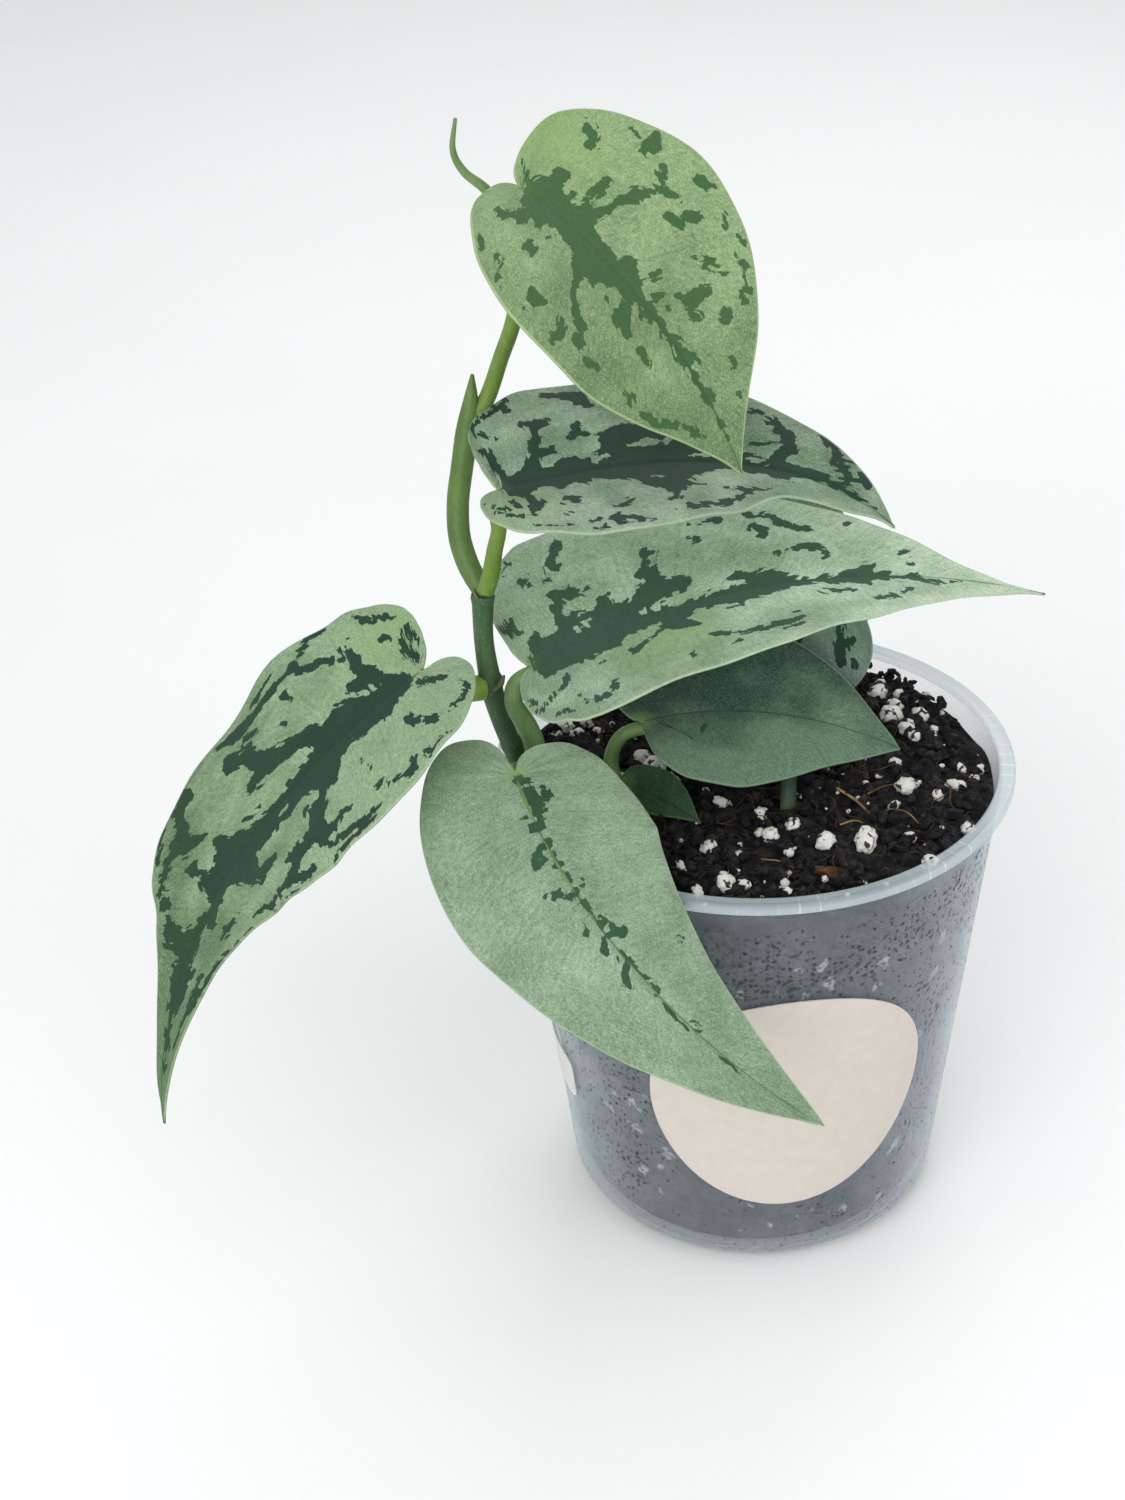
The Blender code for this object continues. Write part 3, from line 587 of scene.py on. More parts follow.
def strewn(name, model, places, finish, tumble=math.pi):
    """Copies of a model at (x, y, z, size, flatness) as one piece, each turned and tumbled at random."""
    shape = read_points(model)
    corners = [tuple(face.vertices) for face in model.data.polygons]
    points, faces = [], []
    for x, y, z, size, flat in places:
        stretch = np.array([draw.uniform(0.65, 1.35), draw.uniform(0.7, 1.25), draw.uniform(0.7, 1.1)])
        lean = draw.uniform(-tumble, tumble, 2)
        spin = np.array(Euler((lean[0], lean[1], draw.uniform(0, 2 * math.pi))).to_matrix().transposed())
        faces += [tuple(c + len(points) for c in corner) for corner in corners]
        points += [tuple(p) for p in (shape * stretch * size) @ spin * (1, 1, flat) + (x, y, z)]
    mesh = bpy.data.meshes.new(name)
    mesh.from_pydata([tuple(np.array(p) * MM) for p in points], [], faces)
    piece = bpy.data.objects.new(name, mesh)
    bpy.context.scene.collection.objects.link(piece)
    mesh.materials.append(finish)
    bpy.data.objects.remove(model)
    return piece


def somewhere(count, reach, smallest, largest):
    """Random (x, y, size) places on the soil, small ones more often than large ones."""
    turns = draw.uniform(0, 2 * math.pi, count)
    far = reach * np.sqrt(draw.uniform(0, 1, count))
    sizes = smallest + (largest - smallest) * draw.uniform(0, 1, count) ** 2.5
    return np.stack([far * np.cos(turns), far * np.sin(turns), sizes], 1)


places = [(x, y, soil_height(x, y) + 0.3 * size + draw.uniform(-0.4, 0.9), size, 0.8)
          for x, y, size in somewhere(CRUMB_COUNT, soil_reach - 2.0, *CRUMB_SIZES)]
heap = [draw.uniform(*limits, HEAP_COUNT) for limits in (HEAP_TURNS, (0, 1), (0, 1))]
for turn, near, lift in zip(*heap):
    far = soil_reach - 1.6 - HEAP_WIDTH * near
    x, y = far * math.cos(turn), far * math.sin(turn)
    z = soil_height(x, y) + HEAP_HEIGHT * lift * (1 - near)
    places.append((x, y, z, draw.uniform(0.5, 1.4), 0.9))
crumbs = strewn("peat_crumbs", knobbly("crumb", 1, 0.45), places, loose_peat)
fit_in(crumbs, "potting_mix", "soil")

# %% [markdown]
# Torn roots and straw lie in the peat as thin brown strands. They could be painted on, but they cast
# shadows and cross in the air, so one strand with four sides is modelled and strewn lying down. Five
# straws and a chip of bark that the photograph shows are placed one by one.

# %% Fibres, straws and bark
STRAWS = (((18.5, -7), (27.2, -17.6), 0.32), ((19.5, -21.8), (24.5, -19.7), 0.22),
          ((30.5, -14), (37.5, -20), 0.16), ((26, -8.5), (33, -4.5), 0.15),
          ((2, -34), (9, -37.5), 0.16))
STRAW_LIFT, STRAW_ARCH = 1.5, 0.7
FIBRE_COUNT, FIBRE_SIZES = 330, (0.05, 0.9)
CHIP_X, CHIP_Y, CHIP_SIZE, CHIP_FLATNESS = 16.4, -39.5, 2.8, 0.45


def fibre_finish(name, dark, light):
    """Dry plant fibre: dull, in two browns that change along it every few millimetres."""
    made, tree, shader = new_finish(name, {"Roughness": 0.8, "Specular IOR Level": 0.2})
    place = node(tree, "TexCoord", {}).outputs["Object"]
    patch = node(tree, "TexNoise", {"Vector": place, "Scale": 230.0, "Detail": 3.0})
    share = node(tree, "MapRange", {"Value": patch, "From Min": 0.38, "From Max": 0.62})
    paint = node(tree, "Mix", {0: share, 6: dark, 7: light}, data_type="RGBA")
    bump = node(tree, "Bump", {"Strength": 0.5, "Distance": 0.2 * MM, "Height": patch})
    plug(tree, shader, {"Base Color": paint, "Normal": bump})
    return made


root_brown = fibre_finish("dry_root", "1A130D", "513B27")
straw_yellow = fibre_finish("dry_straw", "5F4A2E", "A58A5C")
bark_orange = fibre_finish("bark_chip", "2C1D11", "5E4022")

strand = stalk("strand", ((-4.5, 0, 0), (-1.5, 0.9, 0.5), (1.8, -0.7, 0.4), (4.5, 0.6, 0)),
               (0.1, 0.19, 0.18, 0.08), root_brown, step=2.0, roundness=0)
places = [(x, y, soil_height(x, y) + draw.uniform(0.7, 1.7), 0.35 + size, 0.9)
          for x, y, size in somewhere(FIBRE_COUNT, soil_reach - 6.0, *FIBRE_SIZES)]
fit_in(strewn("root_fibres", strand, places, root_brown, tumble=0.35), "potting_mix", "soil")

for number, (start, end, thick) in enumerate(STRAWS):
    middle = ((start[0] + end[0]) / 2 + 0.5, (start[1] + end[1]) / 2 + 0.4)
    points = [(x, y, soil_height(x, y) + STRAW_LIFT + arch)
              for (x, y), arch in zip((start, middle, end), (0, STRAW_ARCH, 0))]
    straw = stalk("straw_%d" % number, points, (thick, thick * 0.9, thick * 0.7), straw_yellow,
                  roundness=1)
    fit_in(straw, "potting_mix", "soil")

chip_place = (CHIP_X, CHIP_Y, soil_height(CHIP_X, CHIP_Y) + 1.0, CHIP_SIZE, CHIP_FLATNESS)
chip = strewn("bark_chip", knobbly("chip", 2, 0.3), [chip_place], bark_orange)
fit_in(chip, "potting_mix", "soil")

# %% [markdown]
# Perlite is volcanic glass puffed up by heat: chalky white lumps with pits in which peat sticks. The big
# lumps lie where the photograph shows them, the rest are strewn. Their pits come from the finish: a
# Voronoi pattern with cells of about 1.3 mm, dark at the cell edges, and only on some sides.

# %% Perlite
PERLITE = ((35, -5, 2.6), (42, -10, 1.9), (46, -5.5, 2.1), (25, -29, 3.4), (16, -29, 2.4), (13, -27.5, 1.4),
           (9, -22, 1.6), (4, -26, 2.4), (1.5, -24, 1.4), (8, -31, 1.6), (-6, -45, 2.4), (-10, -29, 1.7),
           (-16, -38, 1.6), (-12, -48, 1.4), (-4, -39, 1.2), (-3, -31, 0.9), (-2, -44, 1.5), (7, -43, 1.3),
           (19, -6, 1.5), (21, 0, 1.2), (26, -3, 1.0), (29, 1, 0.8), (33, 6, 1.3), (38, 15, 2.3), (37, 22,
                                                                                                   1.5),
           (34, 30, 2.3), (35, 35, 1.5), (39, 33, 1.1), (42, 36, 1.3), (31, 39, 1.7), (45, 29, 0.9),
           (48, 3, 1.5), (51, 0, 1.2), (52.5, 3, 1.3), (35, -24, 1.6), (32, -12, 1.4), (48, -22, 1.9),
           (39, -35, 1.6), (29, -43, 0.9), (-23, 0, 3.4), (-19, -4, 2.9), (-26, 6, 2.4), (-7, -11, 1.8),
           (2, -15, 1.7), (-11, -5, 1.3), (-45, 20, 2.2), (-42, 17, 2.0), (-40, 22, 1.9), (-37, 19, 1.5),
           (-47, 17, 1.3), (36, 18, 2.6), (33, 26, 2.6), (30, 35, 2.4), (40, 27, 2.2),
           (-5, 30, 2.2), (-22, 34, 1.8), (8, 45, 1.6), (-30, -33, 1.9), (-46, -6, 1.6))

GRAIN_COUNT, GRAIN_SIZES = 150, (0.3, 1.0)

lumps = [(x, y, soil_height(x, y) + 0.45 * size, size, 0.8) for x, y, size in PERLITE]
grains = [(x, y, soil_height(x, y) + 0.6 * size + draw.uniform(0, 0.6), size, 0.9)
          for x, y, size in somewhere(GRAIN_COUNT, soil_reach - 1.5, *GRAIN_SIZES)]
chalky, tree, shader = new_finish("expanded_perlite", {"Roughness": 0.85, "Specular IOR Level": 0.3})
place = node(tree, "TexCoord", {}).outputs["Object"]
pits = node(tree, "TexVoronoi", {"Vector": place, "Scale": 780.0})
sides = node(tree, "TexNoise", {"Vector": place, "Scale": 260.0, "Detail": 3.0})
deep = node(tree, "Math", {0: pits, 1: sides}, operation="MULTIPLY")
dirt = node(tree, "MapRange", {"Value": deep, "From Min": 0.33, "From Max": 0.4})
chalk = node(tree, "Mix", {0: sides, 6: "C3BFB8", 7: "F0EEE9"}, data_type="RGBA")
paint = node(tree, "Mix", {0: dirt, 6: chalk, 7: "3A302A"}, data_type="RGBA")
bump = node(tree, "Bump", {"Strength": 0.9, "Distance": 0.6 * MM, "Height": deep}, invert=True)
plug(tree, shader, {"Base Color": paint, "Normal": bump})
for name, level, spots in (("perlite_lumps", 3, lumps), ("perlite_grains", 2, grains)):
    perlite = strewn(name, knobbly("lump", level, 0.22), spots, chalky)
    perlite.data.shade_smooth()
    fit_in(perlite, "potting_mix", "soil")

# %% [markdown]
# The skin of a stem is waxy and green, with fine lines along it and small freckles 1.4 mm apart. Old
# growth is dark, a young leaf stalk is bright yellow green. The lines are a noise stretched along the
# height, 0.6 mm apart and 11 mm long.

# %% Stem finishes
def stem_finish(name, deep, bright, freckle):
    """A waxy green skin of two greens in long streaks, with small freckles."""
    made, tree, shader = new_finish(name, {"Roughness": 0.5, "Specular IOR Level": 0.35})
    place = node(tree, "TexCoord", {}).outputs["Object"]
    long = node(tree, "Mapping", {"Vector": place, "Scale": (1600.0, 1600.0, 90.0)})
    streak = node(tree, "TexNoise", {"Vector": long, "Scale": 1.0, "Detail": 3.0})
    patch = node(tree, "TexNoise", {"Vector": place, "Scale": 90.0, "Detail": 2.0})
    both = node(tree, "Math", {0: streak, 1: 0.45, 2: patch}, operation="MULTIPLY_ADD")
    share = node(tree, "MapRange", {"Value": both, "From Min": 0.5, "From Max": 0.95})
    paint = node(tree, "Mix", {0: share, 6: deep, 7: bright}, data_type="RGBA")
    spots = node(tree, "TexVoronoi", {"Vector": place, "Scale": 700.0})
    dot = node(tree, "MapRange", {"Value": spots, "From Min": 0.22, "From Max": 0.1})
    mark = node(tree, "Mix", {0: dot, 6: paint, 7: freckle}, data_type="RGBA")
    bump = node(tree, "Bump", {"Strength": 0.4, "Distance": 0.2 * MM, "Height": streak})
    plug(tree, shader, {"Base Color": mark, "Normal": bump})
    return made


old_stem = stem_finish("old_green_stem", "324C36", "4B6941", "5C7754")
dark_stalk = stem_finish("dark_leaf_stalk", "3A5639", "567549", "5F7A4C")
young_stalk = stem_finish("young_leaf_stalk", "56732E", "76913F", "668237")
olive_stalk = stem_finish("olive_leaf_stalk", "55743F", "7C9661", "6A8650")
fresh_stalk = stem_finish("fresh_leaf_stalk", "6F8F30", "94AC52", "7E9A42")
sheath_green = stem_finish("sheath_green", "46602F", "617C3F", "546E3A")
# The stub's skin is darker than the stem's, partly as old growth and partly as painted shade, for it stands
# low under the leaves.
stub_skin_and_shade = stem_finish("old_stub_and_painted_shade", "2B3F2D", "405939", "4B633F")
papery = stem_finish("dry_leaf_scale", "4C5233", "767A50", "4A3B26")

# %% [markdown]
# The main stem stands at the left of the pot and carries three leaves. A cut stub of a second stem
# shows in the middle. A bud sits in the angle of a leaf stalk, as a small pointed lump, and a dry scale
# is left where the next stalk starts.

# %% Main stem and stub
STEM_PATH = ((-48.2, -8.6, 97), (-48.2, -8.6, 110.5), (-52.6, -8.2, 116.8), (-55, -8, 124.5),
             (-57.5, -8, 132.5), (-59, -8.5, 141), (-60, -9, 153), (-59.6, -9.5, 165))
STEM_RADII = (2.3, 2.3, 2.4, 2.4, 2.3, 2.5, 2.2, 2.5)
STUB_PATH = ((8, -14, 97), (8, -14, 110), (8, -12, 117), (8, -11, 121))
STUB_RADII = (1.9, 1.9, 1.8, 1.8)

stem = stalk("main_stem", STEM_PATH, STEM_RADII, old_stem,
             rings=((125, 0.35, 0.7), (142.5, 0.4, 0.8), (163.8, 0.3, 0.8)))
bud = stalk("bud", ((-58.2, -10.4, 141.2), (-56.6, -11.2, 142.8), (-55.6, -11.6, 145.2)), (0.9, 0.8, 0.3),
            papery)
scale = stalk("old_scale", ((-58.4, -11.6, 163.2), (-60.6, -11.4, 164.6), (-61.6, -10.4, 166.6)),
              (0.3, 0.45, 0.2), papery)
join_into(stem, (bud, scale))
fit_in(stem, "stem", "stem")
stub = stalk("cut_stem_stub", STUB_PATH, STUB_RADII, stub_skin_and_shade, rings=((119.5, 0.25, 0.6),))
fit_in(stub, "stem", "stem_stub")

# %% [markdown]
# ## The shape of a leaf
# Each leaf is heart shaped, bent along its midrib and cupped across it. It could be sculpted, but eight
# leaves that must match the CAD part are better made from the same few numbers. Each half's edge is
# three Bezier curves. A line is ruled from each station on the edge to one on the midrib, the way the
# side veins run. Flat points are then bent: the midrib is walked in sixty short steps that turn a
# little each time, and every point is lifted from it by the fold of its half.
#
# The numbers of seven leaves were found by a separate program, which fitted this formula to their
# outlines in the photograph. They are rounded, but not chosen by hand. The small leaf's are given.

# %% Leaf numbers
LEAVES = {
    "leaf_top": dict(
        base=(-48, 1.5, 253.5), heading=74, rise=-32, roll=-7, length=76, half=(36.5, 31), lobe=(6, 5),
        broadest=0.24, belly=(0.32, 0.50), point=(0.08, 0.28), tail=0.20, bend=30, bend_late=0.16,
        sweep=19, sweep_late=-0.14, twist=-21, fold=(11, 12), arch=(-3, 25), lobe_lift=5),
    "leaf_second": dict(
        base=(-53.5, -18, 194.5), heading=111, rise=3, roll=-3, length=90, half=(32.5, 31), lobe=(2, 7),
        broadest=0.18, belly=(0.36, 0.46), point=(0.12, 0.14), tail=0.14, bend=14, bend_late=0.24,
        sweep=74, sweep_late=1.12, twist=-9, fold=(17, 15), arch=(22, 12), lobe_lift=5,
        waves=((1, 68, 9, 9), (1, 84, 7, -3))),
    "leaf_third": dict(
        base=(-49, -13, 148.5), heading=110, rise=21, roll=-5, length=116, half=(36.5, 32.5),
        lobe=(3, 5.5), broadest=0.08, belly=(0.50, 0.50), point=(-0.04, 0.26), tail=0.24, bend=20,
        bend_late=0.10, sweep=40, sweep_late=0.04, twist=-1, fold=(15, 12), arch=(14, 2), lobe_lift=1),
    "leaf_left": dict(
        base=(-74.5, -14, 147), heading=-70, rise=-35, roll=1, length=123, half=(35.5, 37),
        lobe=(12, 5.5), broadest=0.16, belly=(0.28, 0.68), point=(0.64, 0.16), tail=0.56, bend=25,
        bend_late=0.04, sweep=-62, sweep_late=1.24, twist=12, fold=(7, 9), arch=(5, 10), lobe_lift=0,
        waves=((1, 28, 10, 3), (1, 46, 10, -2))),
    "leaf_front": dict(
        base=(-51.5, -35.5, 134), heading=18, rise=-13, roll=-6, length=106.5, half=(25.5, 26),
        lobe=(7.5, 14), broadest=0.22, belly=(0.02, 0.22), point=(0.26, 0.10), tail=0.10, bend=40,
        bend_late=-0.06, sweep=-52, sweep_late=0.08, twist=1, fold=(-6, -8), arch=(18, 18), lobe_lift=8),
    "leaf_low": dict(
        base=(-24.5, -8, 131), heading=112, rise=3, roll=-12, length=61, half=(26.5, 23.5), lobe=(5, 2),
        broadest=0.26, belly=(0.28, 0.26), point=(0.12, 0.26), tail=0.10, bend=19, bend_late=0.02,
        sweep=33, sweep_late=-0.30, twist=-17, fold=(12, 10), arch=(4, 15), lobe_lift=4),
    "leaf_back": dict(
        base=(19.5, 29.5, 145), heading=-84, rise=-31, roll=51, length=63, half=(23.5, 28.5),
        lobe=(2.5, 10), broadest=0.20, belly=(0.34, 0.28), point=(0.26, 0.12), tail=0.08, bend=11,
        bend_late=0.04, sweep=10, sweep_late=0.18, twist=5, fold=(9, 9), arch=(11, 10), lobe_lift=4),
    "leaf_small": dict(
        base=(-29, -11, 116), heading=62, rise=-2, roll=-12, length=20.5, half=(7.5, 6.5), lobe=(2, 2),
        broadest=0.30, belly=(0.26, 0.26), point=(0.2, 0.2), tail=0.15, bend=14, bend_late=0.0,
        sweep=10, sweep_late=0.0, twist=0, fold=(12, 12), arch=(8, 8), lobe_lift=0),
}
print(len(LEAVES), "leaves, the longest", max(leaf["length"] for leaf in LEAVES.values()), "mm")

# %% [markdown]
# The three curves of a half run from the notch round the lobe, on to the broadest place, and then to the
# tip. They meet where the edge runs straight back, and straight ahead, so that no corner shows.

# %% Edge of a leaf
LOBE_AT, LOBE_SHARE, BROAD_SHARE = 0.42, 0.16, 0.30


def bezier(points, share):
    """Points of a cubic at each share from 0 to 1."""
    a, b, c, d = (np.array(p, float) for p in points)
    s = share[:, None]
    return (1 - s) ** 3 * a + 3 * (1 - s) ** 2 * s * b + 3 * (1 - s) * s ** 2 * c + s ** 3 * d


def half_outline(leaf, side, along):
    """Flat edge of one half as (across, ahead), from the notch round the lobe to the tip."""
    wide, lobe, length = leaf["half"][side], leaf["lobe"][side], leaf["length"]
    belly, point, tail = leaf["belly"][side], leaf["point"][side], leaf["tail"]
    deep, broad = LOBE_AT * wide, leaf["broadest"] * length
    notch, low, side_on, tip = (0, 0), (deep, -lobe), (wide, broad), (0, length)
    arcs = ((notch, (0.02 * wide, -0.75 * lobe), (0.55 * deep, -lobe), low),
            (low, (deep + 0.6 * (wide - deep), -lobe), (wide, broad - 0.6 * (broad + lobe)), side_on),
            (side_on, (wide, broad + belly * length), (point * wide, (1 - tail) * length), tip))
    ends = (0.0, LOBE_SHARE, LOBE_SHARE + BROAD_SHARE, 1.0)
    edge = np.zeros((len(along), 2))
    for number, points in enumerate(arcs):
        start, end = ends[number], ends[number + 1]
        here = (along >= start) & (along <= end)
        edge[here] = bezier(points, (along[here] - start) / (end - start))
    return edge


# %% [markdown]
# The midrib is walked first. At each step its direction bends down, sweeps sideways and twists, by
# angles that each leaf gives in whole. A flat point then finds its step on the midrib, goes out across
# it and is lifted: by the fold of its half, less the arch towards the edge, and by any wave near it.

# %% Bend of a leaf
SPINE_STEPS = 60
GROOVE_DEEP, GROOVE_WIDE = 0.3, 0.8
CREASE_ROUND = 4.0


def unit(v):
    """The direction of a vector."""
    return v / np.linalg.norm(v)


def spine(leaf):
    """The midrib as points in space with their ahead, face and right-hand directions, and their step."""
    heading, rise, roll = np.radians([leaf["heading"], leaf["rise"], leaf["roll"]])
    out = math.cos(rise)
    ahead = np.array([math.sin(heading) * out, -math.cos(heading) * out, math.sin(rise)])
    level = unit(np.cross(ahead, [0, 0, 1.0]))
    across = level * math.cos(roll) + np.cross(level, ahead) * math.sin(roll)
    face = np.cross(across, ahead)
    place = np.array(leaf["base"], float)
    step = leaf["length"] / SPINE_STEPS
    rows = [(place, ahead, face, across)]
    for k in range(SPINE_STEPS):
        late = 2 * k / SPINE_STEPS - 1
        bend = math.radians(leaf["bend"]) / SPINE_STEPS * (1 + leaf["bend_late"] * late)
        sweep = math.radians(leaf["sweep"]) / SPINE_STEPS * (1 + leaf["sweep_late"] * late)
        twist = math.radians(leaf["twist"]) / SPINE_STEPS
        turned_ahead = unit(ahead - face * bend + across * sweep)
        face = face + ahead * bend - across * twist
        face = unit(face - turned_ahead * (face @ turned_ahead))
        place = place + (ahead + turned_ahead) / 2 * step
        ahead = turned_ahead
        across = np.cross(ahead, face)
        rows.append((place, ahead, face, across))
    return [np.array(column) for column in zip(*rows)], step


def on_blade(leaf, flat, lift):
    """Bends flat (across, ahead) points to where they lie on the leaf, each raised by its lift."""
    (place, ahead, face, across), step = spine(leaf)
    x, y = flat[:, 0], flat[:, 1]
    k = np.clip(np.clip(y, 0, leaf["length"]) / step, 0, SPINE_STEPS - 1e-6)
    i = k.astype(int)
    f = (k - i)[:, None]
    at, ahead, face, across = (a[i] * (1 - f) + a[i + 1] * f for a in (place, ahead, face, across))
    side = (x > 0).astype(int)
    fold, arch, half = (np.array(leaf[key], float)[side] for key in ("fold", "arch", "half"))
    reach = np.abs(x)
    tilt = np.radians(fold - arch * reach / (2 * half))
    behind = np.minimum(y, 0)
    lobe_lift = math.radians(leaf["lobe_lift"])
    rounded = np.sqrt(reach ** 2 + CREASE_ROUND ** 2) - 0.7 * CREASE_ROUND
    rise = rounded * np.sin(tilt) - behind * math.sin(lobe_lift) + lift
    for wave_side, centre, spread, height in leaf.get("waves", ()):
        near = np.exp(-((y - centre) / spread) ** 2) * height
        rise = rise + np.where(x * wave_side > 0, (reach / half) ** 2 * near, 0)
    out = at + across * (np.sign(x) * reach * np.cos(tilt))[:, None] + face * rise[:, None]
    return out + ahead * (behind * math.cos(lobe_lift))[:, None]
